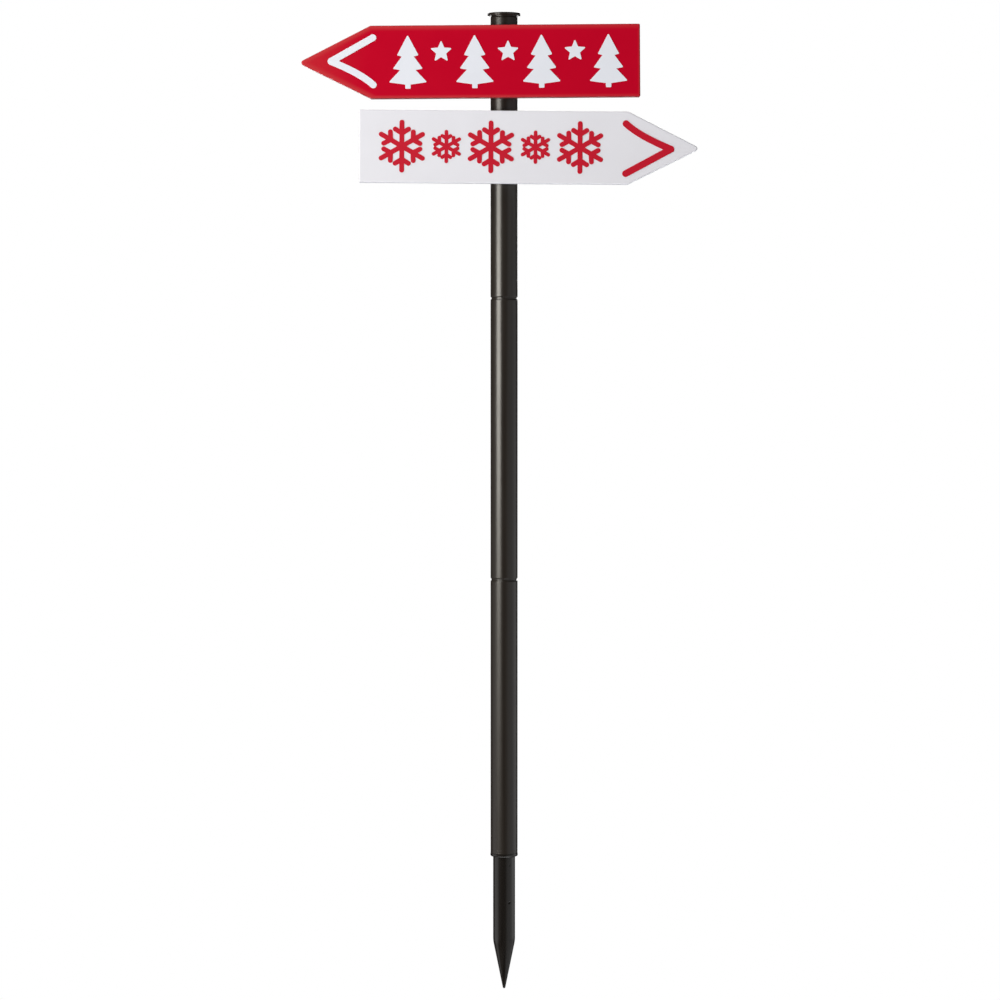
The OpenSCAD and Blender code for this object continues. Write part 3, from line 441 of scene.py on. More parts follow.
@dataclass(frozen=True)
class SolderMask(Finish):
    """Green circuit board: copper tracks show as lighter bands under the mask."""

    track: Colour = (0.03, 0.26, 0.09)
    track_pitch: float = 1.6 * MM
    bend_pitch: float = 9 * MM
    track_height: float = 0.03 * MM
    coat: float = 0.4

    def build(self) -> Material:
        """Makes the material.

        Returns:
            The material.
        """
        sh = Shader(self.name)
        along, _, height = sh.split(sh.place)
        bend = 0.35 * abs(sh.math("PINGPONG", along, self.bend_pitch))
        track = sh.math("PINGPONG", height + bend, self.track_pitch).ramp(0.9 * MM, 1.1 * MM)
        return sh.close(
            Base_Color=sh.mix(track, self.colour, self.track),
            Roughness=self.roughness + 0.1 * track,
            Coat_Weight=self.coat,
            Normal=sh.bump(track, self.track_height),
        )


@dataclass(frozen=True)
class Sleeve(Finish):
    """Printed battery sleeve: plain green with a pale band and a bare metal end."""

    band: Colour = (0.75, 0.78, 0.72)
    metal: Colour = (0.6, 0.6, 0.62)
    axis_from: float = 0.0
    length: float = 0.05

    def build(self) -> Material:
        """Makes the material.

        Returns:
            The material.
        """
        sh = Shader(self.name)
        share = (sh.split(sh.place)[0] - self.axis_from) / self.length
        metal = 1.0 - share.ramp(0.03, 0.035)
        band = share.ramp(0.74, 0.745) * (1.0 - share.ramp(0.9, 0.905))
        cloud = sh.noise(300.0)
        return sh.close(
            Base_Color=sh.mix(metal, sh.mix(band, self.colour, self.band), self.metal),
            Metallic=metal,
            Roughness=self.roughness * (0.85 + 0.3 * cloud),
            Normal=sh.bump(cloud, self.grain),
        )


# Meshes


def bare(name: str, data: ID) -> Object:
    """Links a new object at the origin that holds the mesh, light or camera.

    Args:
        name: The object's name.
        data: What it holds.

    Returns:
        The object.
    """
    made = bpy.data.objects.new(name, data)
    bpy.context.scene.collection.objects.link(made)
    return made


def aimed(data: ID, eye: Point, target: Point) -> Object:
    """Links a light or camera that stands at the eye and looks at the target.

    Args:
        data: The light or camera.
        eye: Where it stands.
        target: Where it points.

    Returns:
        Its object.
    """
    made = bare(data.name, data)
    made.location = eye
    made.rotation_euler = (Vector(target) - Vector(eye)).to_track_quat("-Z", "Y").to_euler()
    return made


def from_bmesh(name: str, bm: BMesh) -> Object:
    """Closes a bmesh into an object with outward faces and smooth shading over its slight edges.

    Args:
        name: The object's name.
        bm: The mesh, which is freed.

    Returns:
        The object.
    """
    bmesh.ops.remove_doubles(bm, verts=bm.verts, dist=WELD)
    bmesh.ops.recalc_face_normals(bm, faces=bm.faces)
    mesh = bpy.data.meshes.new(name)
    for edge in bm.edges:
        edge.smooth = len(edge.link_faces) == 2 and edge.calc_face_angle(0.0) < SMOOTH_BELOW
    for face in bm.faces:
        face.smooth = True
    bm.to_mesh(mesh)
    bm.free()
    return bare(name, mesh)


def braced(profile: Sequence[Flat]) -> list[Flat]:
    """The closed profile with a point close to both ends of each long stretch.

    Smooth shading then turns only within those short ends, and the stretch stays straight.

    Args:
        profile: Radius and height of each corner.

    Returns:
        The corners with the points between them.
    """
    whole = []
    for start, end in zip(profile, [*profile[1:], profile[0]]):
        length = math.dist(start, end)
        whole.append(start)
        if length > 3 * BRACE and max(start[0], end[0]) > 0.0:
            for share in (BRACE / length, 1.0 - BRACE / length):
                whole.append(tuple(a + (b - a) * share for a, b in zip(start, end)))
    return whole


def lathe(name: str, profile: Sequence[Flat], sides: int = 96) -> Object:
    """Turns a closed profile about the Z axis.

    Args:
        name: The object's name.
        profile: Radius and height of each corner, in order round the section. A radius of 0 makes
            a pole.
        sides: Faces round the turn.

    Returns:
        The object.
    """
    bm = bmesh.new()
    rings = []
    for r, z in braced(profile):
        if r < WELD:
            rings.append([bm.verts.new((0.0, 0.0, z))] * sides)
        else:
            turns = (2 * math.pi * i / sides for i in range(sides))
            rings.append([bm.verts.new((r * math.cos(a), r * math.sin(a), z)) for a in turns])
    skin(bm, rings + rings[:1])
    return from_bmesh(name, bm)


def skin(bm: BMesh, rings: Sequence[Sequence[BMVert]]) -> None:
    """Lays faces between each ring and the next, triangles where a ring is a pole.

    Args:
        bm: The mesh.
        rings: Corners of each ring, as many in all of them.
    """
    for ring, after in zip(rings, rings[1:]):
        for i in range(len(ring)):
            j = (i + 1) % len(ring)
            corners = list(dict.fromkeys((ring[i], ring[j], after[j], after[i])))
            if len(corners) > 2:
                bm.faces.new(corners)


def arc(centre: Flat, r: float, start: float, end: float, steps: int = 6) -> list[Flat]:
    """Points of a round corner of a profile, from a start to an end angle in degrees."""
    turns = (math.radians(start + (end - start) * i / steps) for i in range(steps + 1))
    return [(centre[0] + r * math.cos(a), centre[1] + r * math.sin(a)) for a in turns]


def cut_away(piece: Object, cutters: Iterable[Object]) -> None:
    """Cuts closed shapes out of a piece, and removes them.

    Args:
        piece: The piece that is cut.
        cutters: The shapes.
    """
    for cutter in cutters:
        cut = piece.modifiers.new("cut", "BOOLEAN")
        cut.operation, cut.solver, cut.object = "DIFFERENCE", "EXACT", cutter
        baked = settled_mesh(piece)
        piece.modifiers.clear()
        piece.data = baked
        bpy.data.objects.remove(cutter)


def settled_mesh(piece: Object) -> Mesh:
    """The piece's mesh with its modifiers worked in.

    Args:
        piece: The piece.

    Returns:
        A new mesh.
    """
    bpy.context.view_layer.update()
    seen = piece.evaluated_get(bpy.context.evaluated_depsgraph_get())
    return bpy.data.meshes.new_from_object(seen)


def join(whole: Object, part: Object) -> None:
    """Adds the second object's mesh to the first, and removes the second.

    Args:
        whole: The first.
        part: The second.
    """
    bm = bmesh.new()
    bm.from_mesh(whole.data)
    bm.from_mesh(part.data)
    bm.to_mesh(whole.data)
    bm.free()
    bpy.data.objects.remove(part)


# Repeats


class Repeat(Graph):
    """A geometry tree with named inputs, which ends in Realize Instances and Set Material."""

    def __init__(self, name: str, sizes: Mapping[str, str]) -> None:
        """Makes the tree and its sockets.

        Args:
            name: The tree's name.
            sizes: Each named input and its kind of socket.
        """
        super().__init__(bpy.data.node_groups.new(name, "GeometryNodeTree"))
        face = self.tree.interface
        kinds = {"Geometry": "Geometry", **sizes, "Material": "Material"}
        self.ids = {
            key: face.new_socket(key, in_out="INPUT", socket_type="NodeSocket" + kind).identifier
            for key, kind in kinds.items()
        }
        face.new_socket("Geometry", in_out="OUTPUT", socket_type="NodeSocketGeometry")
        self.entry = self.node("NodeGroupInput")

    def __getitem__(self, name: str) -> Wire:
        """The wire of a named input."""
        return Wire(self, self.entry.outputs[name])

    def held(self, name: str) -> Wire:
        """The geometry of the object that a named input holds."""
        return self.wire("GeometryNodeObjectInfo", {"Object": self[name]}, "Geometry")

    def close(self, geometry: Wire) -> "Repeat":
        """Ends the tree: the repeats become plain geometry in the given material.

        Args:
            geometry: The repeats.

        Returns:
            The tree.
        """
        real = self.wire("GeometryNodeRealizeInstances", {"Geometry": geometry})
        painted = self.wire("GeometryNodeSetMaterial", {
            "Geometry": real, "Material": self["Material"]})
        self.node("NodeGroupOutput", {"Geometry": painted})
        return self

    def make(self, name: str, material: Material, values: Mapping[str, object],
             spots: Sequence[Point] = ((0.0, 0.0, 0.0),)) -> Object:
        """Runs the tree on points and keeps the result as a plain mesh.

        Args:
            name: The new piece's name.
            material: The material of the result.
            values: Values of the named inputs. An object among them is used up.
            spots: The points.

        Returns:
            The piece.
        """
        points = bpy.data.meshes.new("start")
        points.from_pydata([tuple(s) for s in spots], [], [])
        start = bare("start", points)
        grown = start.modifiers.new("grow", "NODES")
        grown.node_group = self.tree
        for key, value in {**values, "Material": material}.items():
            grown[self.ids[key]] = value
        mesh = settled_mesh(start)
        start.modifiers.remove(grown)
        for used in (start, *values.values()):
            if isinstance(used, Object):
                bpy.data.objects.remove(used)
        mesh.name = name
        return bare(name, mesh)


def parts_tree() -> Repeat:
    """Copies of one part on the given points, each turned about Y by an amount of its own.

    Returns:
        The tree.
    """
    tree = Repeat("parts_on_points", {
        "Part": "Object", "Least Turn": "Float", "Most Turn": "Float", "Seed": "Int"})
    part = tree.held("Part")
    turn = tree.wire("FunctionNodeRandomValue", {
        2: tree["Least Turn"], 3: tree["Most Turn"], "Seed": tree["Seed"]}, 1, data_type="FLOAT")
    return tree.close(tree.wire("GeometryNodeInstanceOnPoints", {
        "Points": tree["Geometry"], "Instance": part, "Rotation": tree.vector(y=turn)}))


def row_tree() -> Repeat:
    """Copies of one small part in a row along X.

    Returns:
        The tree.
    """
    tree = Repeat("row_along_x", {
        "Part": "Object", "Count": "Int", "Start": "Vector", "Pitch": "Float"})
    row = tree.wire("GeometryNodeMeshLine", {
        "Count": tree["Count"], "Start Location": tree["Start"],
        "Offset": tree.vector(x=tree["Pitch"])}, mode="OFFSET")
    return tree.close(tree.wire("GeometryNodeInstanceOnPoints", {
        "Points": row, "Instance": tree.held("Part")}))


def fingers_tree() -> Repeat:
    """Thin metal lines across a round cell, each as long as the circle is wide there.

    Returns:
        The tree.
    """
    tree = Repeat("cell_fingers", {
        "Radius": "Float", "Count": "Int", "Width": "Float", "Thickness": "Float",
        "Bus Width": "Float", "Bus Share": "Float"})
    radius, count = tree["Radius"], tree["Count"]
    pitch = 2.0 * radius / (count + 1.0)
    row = tree.wire("GeometryNodeMeshLine", {
        "Count": count, "Start Location": tree.vector(x=pitch - radius),
        "Offset": tree.vector(x=pitch)}, mode="OFFSET")
    across = tree.split(tree.wire("GeometryNodeInputPosition"))[0]
    length = 2.0 * tree.math("SQRT", (radius * radius - across * across).most(0.0))
    bar = tree.wire("GeometryNodeMeshCube", {"Size": (1.0, 1.0, 1.0)})
    fingers = tree.wire("GeometryNodeInstanceOnPoints", {
        "Points": row, "Instance": bar,
        "Scale": tree.vector(tree["Width"], length, tree["Thickness"])})
    bus = tree.wire("GeometryNodeMeshCube", {"Size": tree.vector(
        tree["Bus Share"] * radius, tree["Bus Width"], tree["Thickness"] * 1.4)})
    both = tree.node("GeometryNodeJoinGeometry")
    for part in (fingers, bus):
        tree.tree.links.new(part.socket, both.inputs[0])
    return tree.close(Wire(tree, both.outputs[0]))


def coil_tree() -> Repeat:
    """A round wire along a conical coil whose end turns lie flat.

    Returns:
        The tree.
    """
    tree = Repeat("conical_coil", {
        "Turns": "Float", "Start Radius": "Float", "End Radius": "Float", "Length": "Float",
        "Wire": "Float", "Steps": "Int", "Sides": "Int"})
    turns, wire, first = tree["Turns"], tree["Wire"], tree["Start Radius"]
    line = tree.wire("GeometryNodeCurvePrimitiveLine", {
        "Start": (0.0, 0.0, 0.0), "End": (0.0, 0.0, 1.0)})
    cut = tree.wire("GeometryNodeResampleCurve", {"Curve": line, "Count": tree["Steps"]},
                    mode="COUNT")
    turn = tree.wire("GeometryNodeSplineParameter", out="Factor") * turns
    rise = ((turn - 1.0) / (turns - 2.0)).most(0.0).least(1.0)
    r = first + (tree["End Radius"] - first) * rise
    angle = turn * (2 * math.pi)
    place = tree.vector(wire / 2.0 + (tree["Length"] - wire) * rise,
                        r * tree.math("COSINE", angle), r * tree.math("SINE", angle))
    bent = tree.wire("GeometryNodeSetPosition", {"Geometry": cut, "Position": place})
    section = tree.wire("GeometryNodeCurvePrimitiveCircle", {
        "Resolution": tree["Sides"], "Radius": wire / 2.0})
    return tree.close(tree.wire("GeometryNodeCurveToMesh", {
        "Curve": bent, "Profile Curve": section, "Fill Caps": True}))


# Pieces


@dataclass
class Workshop:
    """What the sub-assemblies share: the materials by record slot and the geometry trees."""

    paints: dict[str, Material] = field(default_factory=dict)
    parts: Repeat = field(default_factory=parts_tree)
    rows: Repeat = field(default_factory=row_tree)

    def learn(self, finishes: Iterable[Finish]) -> None:
        """Builds each finish once, for its slot."""
        for finish in finishes:
            self.paints[finish.slot] = finish.build()

    def paint(self, node: str, slot: str, finish: Optional[Finish] = None) -> None:
        """Gives a CAD node the material of its slot, and reports it.

        Args:
            node: The CAD node.
            slot: Its material slot in the record.
            finish: A finish of its own, in place of the slot's.
        """
        paint = finish.build() if finish else self.paints[slot]
        for place in frame["nodes"][node].material_slots:
            place.material = paint
        LOG.info("dressed %s in %s", node, slot)

    def dress(self, **slots: str) -> None:
        """Paints CAD nodes.

        Args:
            slots: For each slot of the record, its nodes with spaces between.
        """
        for slot, nodes in slots.items():
            for node in nodes.split():
                self.paint(node, slot)

    def spread(self, name: str, part: Object, slot: str, spots: Sequence[Point],
               turns: Flat = (0.0, 0.0)) -> Object:
        """Copies a part onto points, each turned about Y by an amount between the two turns."""
        return self.parts.make(name, self.paints[slot], {
            "Part": part, "Least Turn": turns[0], "Most Turn": turns[1], "Seed": SEED}, spots)

    def hand_over(self, piece: Object, slot: str, *nodes: str) -> None:
        """Paints a new piece, makes it ride on the root and lets it stand for CAD nodes.

        Args:
            piece: The piece.
            slot: The record's material slot.
            nodes: The CAD nodes that it stands for.
        """
        if not piece.data.materials:
            piece.data.materials.append(self.paints[slot])
        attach(piece, "root")
        if nodes:
            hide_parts(*nodes)
        LOG.info("made %s: %d faces", piece.name, len(piece.data.polygons))


@dataclass(frozen=True)
class PanScrew:
    """A pan head screw whose head stands on y = 0 and whose shank points to -Y."""

    shank_r: float
    shank_len: float
    head_r: float
    head_h: float
    sides: int = 32

    def build(self) -> Object:
        """Turns the head and shank, then cuts the cross recess.

        Returns:
            The screw.
        """
        round_r = 0.7 * self.head_h
        soft = 0.06
        tip = 0.6 * self.shank_r
        profile = [(0.0, -self.shank_len), (self.shank_r - tip, -self.shank_len),
                   (self.shank_r, tip - self.shank_len), (self.shank_r, 0.0),
                   (self.head_r - soft * self.head_r, 0.0), (self.head_r, soft * self.head_h)]
        profile += arc((self.head_r - round_r, self.head_h - round_r), round_r, 0, 78)
        screw = lathe("screw", profile + [(0.0, self.head_h)], self.sides)
        slot, reach, depth = self.head_r / 3.4, 0.58 * self.head_r, 0.62 * self.head_h
        over = 1 * MM
        for turn in (0.0, math.pi / 2):
            bm = bmesh.new()
            bmesh.ops.create_cube(bm, size=1.0, matrix=(
                Matrix.Rotation(turn, 4, "Z")
                @ Matrix.Translation((0.0, 0.0, self.head_h + (over - depth) / 2))
                @ Matrix.Diagonal((2 * reach, slot, depth + over, 1.0))))
            cut_away(screw, [from_bmesh("cutter", bm)])
        screw.data.transform(Matrix.Rotation(-math.pi / 2, 4, "X"))
        return screw


@dataclass
class Post:
    """The three tubes and the sleeves inside their joints."""

    outer_r: float = 13.5 * MM
    wall: float = 1.5 * MM
    neck: float = 0.7 * MM
    lip: Flat = (0.9 * MM, 1.2 * MM)
    foot_lip: Flat = (0.3 * MM, 0.3 * MM)
    lip_steps: int = 6
    soften: float = 0.2 * MM
    bush_hole_r: float = 3.8 * MM
    drill_len: float = 12 * MM
    foot_lines: tuple[float, ...] = (1.6 * MM, 4.4 * MM)
    line_depth: float = 0.06 * MM
    line_w: float = 0.5 * MM
    sides: int = 128
    bushes: tuple[str, ...] = ("red_sign_lead_bush", "white_sign_lead_bush")

    def end(self, neck: float, lip: Flat) -> list[Flat]:
        """A tube end's profile above z = 0, from its bore outwards and up.

        Args:
            neck: Length of the narrow neck at the end, or 0.
            lip: How far the round lip reaches out from the neck, and its length.

        Returns:
            Radius and height of each corner.
        """
        bore, inner = self.outer_r - self.wall, self.outer_r - lip[0]
        turns = [math.radians(90 / self.lip_steps * k) for k in range(self.lip_steps + 1)]
        return ([(bore, self.soften), (bore + self.soften, 0.0)] + [(inner, 0.0)] * (neck > 0)
                + [(inner + lip[0] * math.sin(turn), neck + lip[1] * (1 - math.cos(turn)))
                   for turn in turns])

    def tube(self, node: str) -> Object:
        """One tube with the round lips and necks that show as a groove at each joint.

        Args:
            node: The CAD node whose place and length it takes.

        Returns:
            The tube.
        """
        low, high = (c.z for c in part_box(node))
        foot = node == "post_tube_bottom"
        near = self.end(0.0, self.foot_lip) if foot else self.end(self.neck, self.lip)
        profile = [(r, low + z) for r, z in near]
        for rise in self.foot_lines if foot else ():
            profile += [(self.outer_r - depth, low + rise + side * self.line_w)
                        for side, depth in ((-1, 0.0), (0, self.line_depth), (1, 0.0))]
        ways = self.hole_edges() if node == "post_tube_top" else []
        profile += [(self.outer_r, z) for z in ways]
        profile += [(r, high - z) for r, z in reversed(self.end(self.neck, self.lip))]
        profile += [(self.outer_r - self.wall, z) for z in reversed(ways)]
        return lathe(node + "_body", profile, self.sides)

    def hole_edges(self) -> list[float]:
        """Heights of rings just under and over each bush hole, so that a cut stays between them."""
        room = self.bush_hole_r + 1 * MM
        return [z + side * room for z in sorted(map(self.hole_z, self.bushes)) for side in (-1, 1)]

    def hole_z(self, bush: str) -> float:
        """Height of a lead bush's middle."""
        low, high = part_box(bush)
        return (low.z + high.z) / 2

    def drill(self, bush: str) -> Object:
        """A cylinder along Y where a lead bush passes through the tube's front wall.

        Args:
            bush: The bush's node.

        Returns:
            The cylinder.
        """
        bm = bmesh.new()
        place = Matrix.Translation((0.0, -self.outer_r, self.hole_z(bush)))
        bmesh.ops.create_cone(bm, cap_ends=True, segments=48, radius1=self.bush_hole_r,
                              radius2=self.bush_hole_r, depth=self.drill_len,
                              matrix=place @ Matrix.Rotation(math.pi / 2, 4, "X"))
        return from_bmesh("drill", bm)

    def build(self, shop: Workshop) -> None:
        """Builds the tubes and dresses the rest.

        Args:
            shop: The materials.
        """
        for node in ("post_tube_top", "post_tube_middle", "post_tube_bottom"):
            tube = self.tube(node)
            if node == "post_tube_top":
                cut_away(tube, [self.drill(bush) for bush in self.bushes])
            shop.hand_over(tube, "post_plastic", node)
        shop.dress(post_plastic="post_coupler_upper post_coupler_lower")


@dataclass
class Spike:
    """The ground spike: spigot, stop collar, round shank and a point with an eased shoulder."""

    spigot_r: float = 11.9 * MM
    lead_in: float = 1.0 * MM
    collar_r: float = 13.7 * MM
    collar_h: float = 2.9 * MM
    collar_round: float = 1.3 * MM
    soften: float = 0.2 * MM
    shank_r: float = 11.0 * MM
    shank_len: float = 85.4 * MM
    fillet: float = 0.5 * MM
    core_r: float = 8.0 * MM
    tip_r: float = 1.3 * MM
    shoulder_r: float = 30.0 * MM
    mark_r: float = 1.5 * MM
    mark_room: float = 0.5 * MM
    marks: tuple[Point, ...] = ((5.2 * MM, -46.0 * MM, 0.7 * MM), (5.6 * MM, -8.0 * MM, 0.3 * MM))
    sides: int = 128
    # A darker copy of the post's plastic: the darker colour is painted shade for the low spike,
    # which the lamps light less than the post.
    finish: Finish = PostPlastic("spike_plastic", "post_plastic", (0.0035, 0.0025, 0.002), 0.18,
                                 specular=0.42)

    def build(self, shop: Workshop) -> None:
        """Turns the spike and presses its two moulding marks in.

        Args:
            shop: The materials.
        """
        low, high = (c.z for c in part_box("ground_spike"))
        ball_z = low + self.tip_r
        slant = math.atan2(self.shank_r - self.tip_r, -self.shank_len - ball_z)
        profile = [(0.0, low)] + arc((0.0, ball_z), self.tip_r, -80, -math.degrees(slant))
        profile += arc((self.shank_r - self.shoulder_r,
                        -self.shank_len + self.shoulder_r * math.tan(slant / 2)),
                       self.shoulder_r, -math.degrees(slant), 0, 8)
        room = self.mark_r + self.mark_room
        profile += [(self.shank_r, z + side * room) for _, z, _ in self.marks for side in (-1, 1)]
        profile += [(self.shank_r, -self.fillet),
                    (self.shank_r + 0.3 * self.fillet, -0.3 * self.fillet),
                    (self.shank_r + self.fillet, 0.0)]
        profile += arc((self.collar_r - self.collar_round, self.collar_round),
                       self.collar_round, -90, 0, 8)
        profile += [(self.collar_r, self.collar_h - self.soften),
                    (self.collar_r - self.soften, self.collar_h),
                    (self.spigot_r, self.collar_h), (self.spigot_r, high - self.lead_in),
                    (self.spigot_r - self.lead_in, high), (self.core_r, high),
                    (self.core_r, -self.shank_len), (0.0, -self.shank_len)]
        spike = lathe("ground_spike_body", profile, self.sides)
        cut_away(spike, [self.mark(*spot) for spot in self.marks])
        spike.data.materials.append(self.finish.build())
        shop.hand_over(spike, "post_plastic", "ground_spike")

    def mark(self, x: float, z: float, depth: float) -> Object:
        """A ball that presses a round mark of the given depth into the shank's front.

        Args:
            x: Distance of the mark from the post's axis, to the right.
            z: Its height.
            depth: Its depth.

        Returns:
            The ball.
        """
        ball_r = (self.mark_r ** 2 + depth ** 2) / (2 * depth)
        out = Vector((x, -math.sqrt(self.shank_r ** 2 - x ** 2), 0.0)) / self.shank_r
        bm = bmesh.new()
        bmesh.ops.create_uvsphere(bm, u_segments=48, v_segments=24, radius=ball_r, matrix=(
            Matrix.Translation(out * (self.shank_r + ball_r - depth) + Vector((0.0, 0.0, z)))))
        return from_bmesh("ball", bm)


@dataclass
class SolarCap:
    """The flanged cap with the solar cell under its window."""

    finger_count: int = 13
    finger_w: float = 0.12 * MM
    finger_t: float = 0.02 * MM
    bus_w: float = 0.9 * MM
    bus_share: float = 1.96
    margin: float = 0.4 * MM
    finish: Finish = PostPlastic("cap_plastic", "post_plastic", (0.0115, 0.008, 0.0055), 0.22)

    def build(self, shop: Workshop) -> None:
        """Dresses the cap and lays the cell's metal lines.

        Args:
            shop: The materials.
        """
        shop.paint("solar_cap_housing", "post_plastic", self.finish)
        shop.dress(clear_window="cell_window", black_rubber="cap_seal_ring",
                   solar_cell="solar_cell")
        low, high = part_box("solar_cell")
        lines = fingers_tree().make("solar_cell_fingers", shop.paints["contact_metal"], {
            "Radius": (high.x - low.x) / 2 - self.margin, "Count": self.finger_count,
            "Width": self.finger_w, "Thickness": self.finger_t, "Bus Width": self.bus_w,
            "Bus Share": self.bus_share})
        lines.data.transform(Matrix.Translation((0.0, 0.0, high.z)))
        shop.hand_over(lines, "contact_metal")


@dataclass(frozen=True)
class BoardShape:
    """Outline and place of one arrow board."""

    points_left: bool
    tail: float
    middle_z: float
    height: float = 71.6 * MM
    body_len: float = 266.0 * MM
    point_len: float = 71.5 * MM
    droop: float = math.radians(0.44)
    corner_r: float = 1.2 * MM
    tip_r: float = 2.6 * MM
    least_r: float = 0.4 * MM
    steps: int = 8

    @property
    def tip(self) -> float:
        """From the post's axis to the sharp point."""
        return self.body_len + self.point_len - self.tail

    @property
    def point_angle(self) -> float:
        """Angle between the board's length and either slanted edge."""
        return math.atan2(self.height / 2, self.point_len)

    @property
    def turn(self) -> float:
        """Turn of the board about Y, as the droop makes it."""
        return -self.droop if self.points_left else self.droop

    @property
    def place(self) -> Matrix:
        """The board's frame, with +X towards its point, set in the row frame."""
        mirror = Matrix.Diagonal((-1.0 if self.points_left else 1.0, 1.0, 1.0, 1.0))
        return (Matrix.Translation((0.0, 0.0, self.middle_z))
                @ Matrix.Rotation(self.turn, 4, "Y") @ mirror)

    def outline(self, inset: float) -> list[Flat]:
        """The outline moved inwards, as a ring with the same number of points at any inset.

        Args:
            inset: How far it is moved.

        Returns:
            The ring's points, in length and height.
        """
        h = self.height / 2 - inset
        tip = self.tip - inset / math.sin(self.point_angle)
        shoulder = tip - h / math.tan(self.point_angle)
        back = inset - self.tail
        corners = [Vector(p) for p in
                   ((back, -h), (shoulder, -h), (tip, 0.0), (shoulder, h), (back, h))]
        radii = [max(r - inset, self.least_r) for r in
                 (self.corner_r, self.corner_r, self.tip_r, self.corner_r, self.corner_r)]
        ring = []
        for i, (p, r) in enumerate(zip(corners, radii)):
            u = (corners[i - 1] - p).normalized()
            v = (corners[(i + 1) % len(corners)] - p).normalized()
            half = math.acos(max(-1.0, min(1.0, u.dot(v)))) / 2
            centre = p + (u + v).normalized() * r / math.sin(half)
            a = p + u * r / math.tan(half) - centre
            b = p + v * r / math.tan(half) - centre
            swing = a.angle_signed(b)
            ring.append(tuple(centre + a + u * BRACE))
            for k in range(self.steps + 1):
                angle = math.atan2(a.y, a.x) - swing * k / self.steps
                ring.append((centre.x + r * math.cos(angle), centre.y + r * math.sin(angle)))
            ring.append(tuple(centre + b + v * BRACE))
        return ring


class Side(Enum):
    """The two boards, by the word that starts their nodes' names."""

    RED = "red"
    WHITE = "white"


PRINTS = {Side.RED: ("white_print", "trees"), Side.WHITE: ("red_print", "snowflakes")}


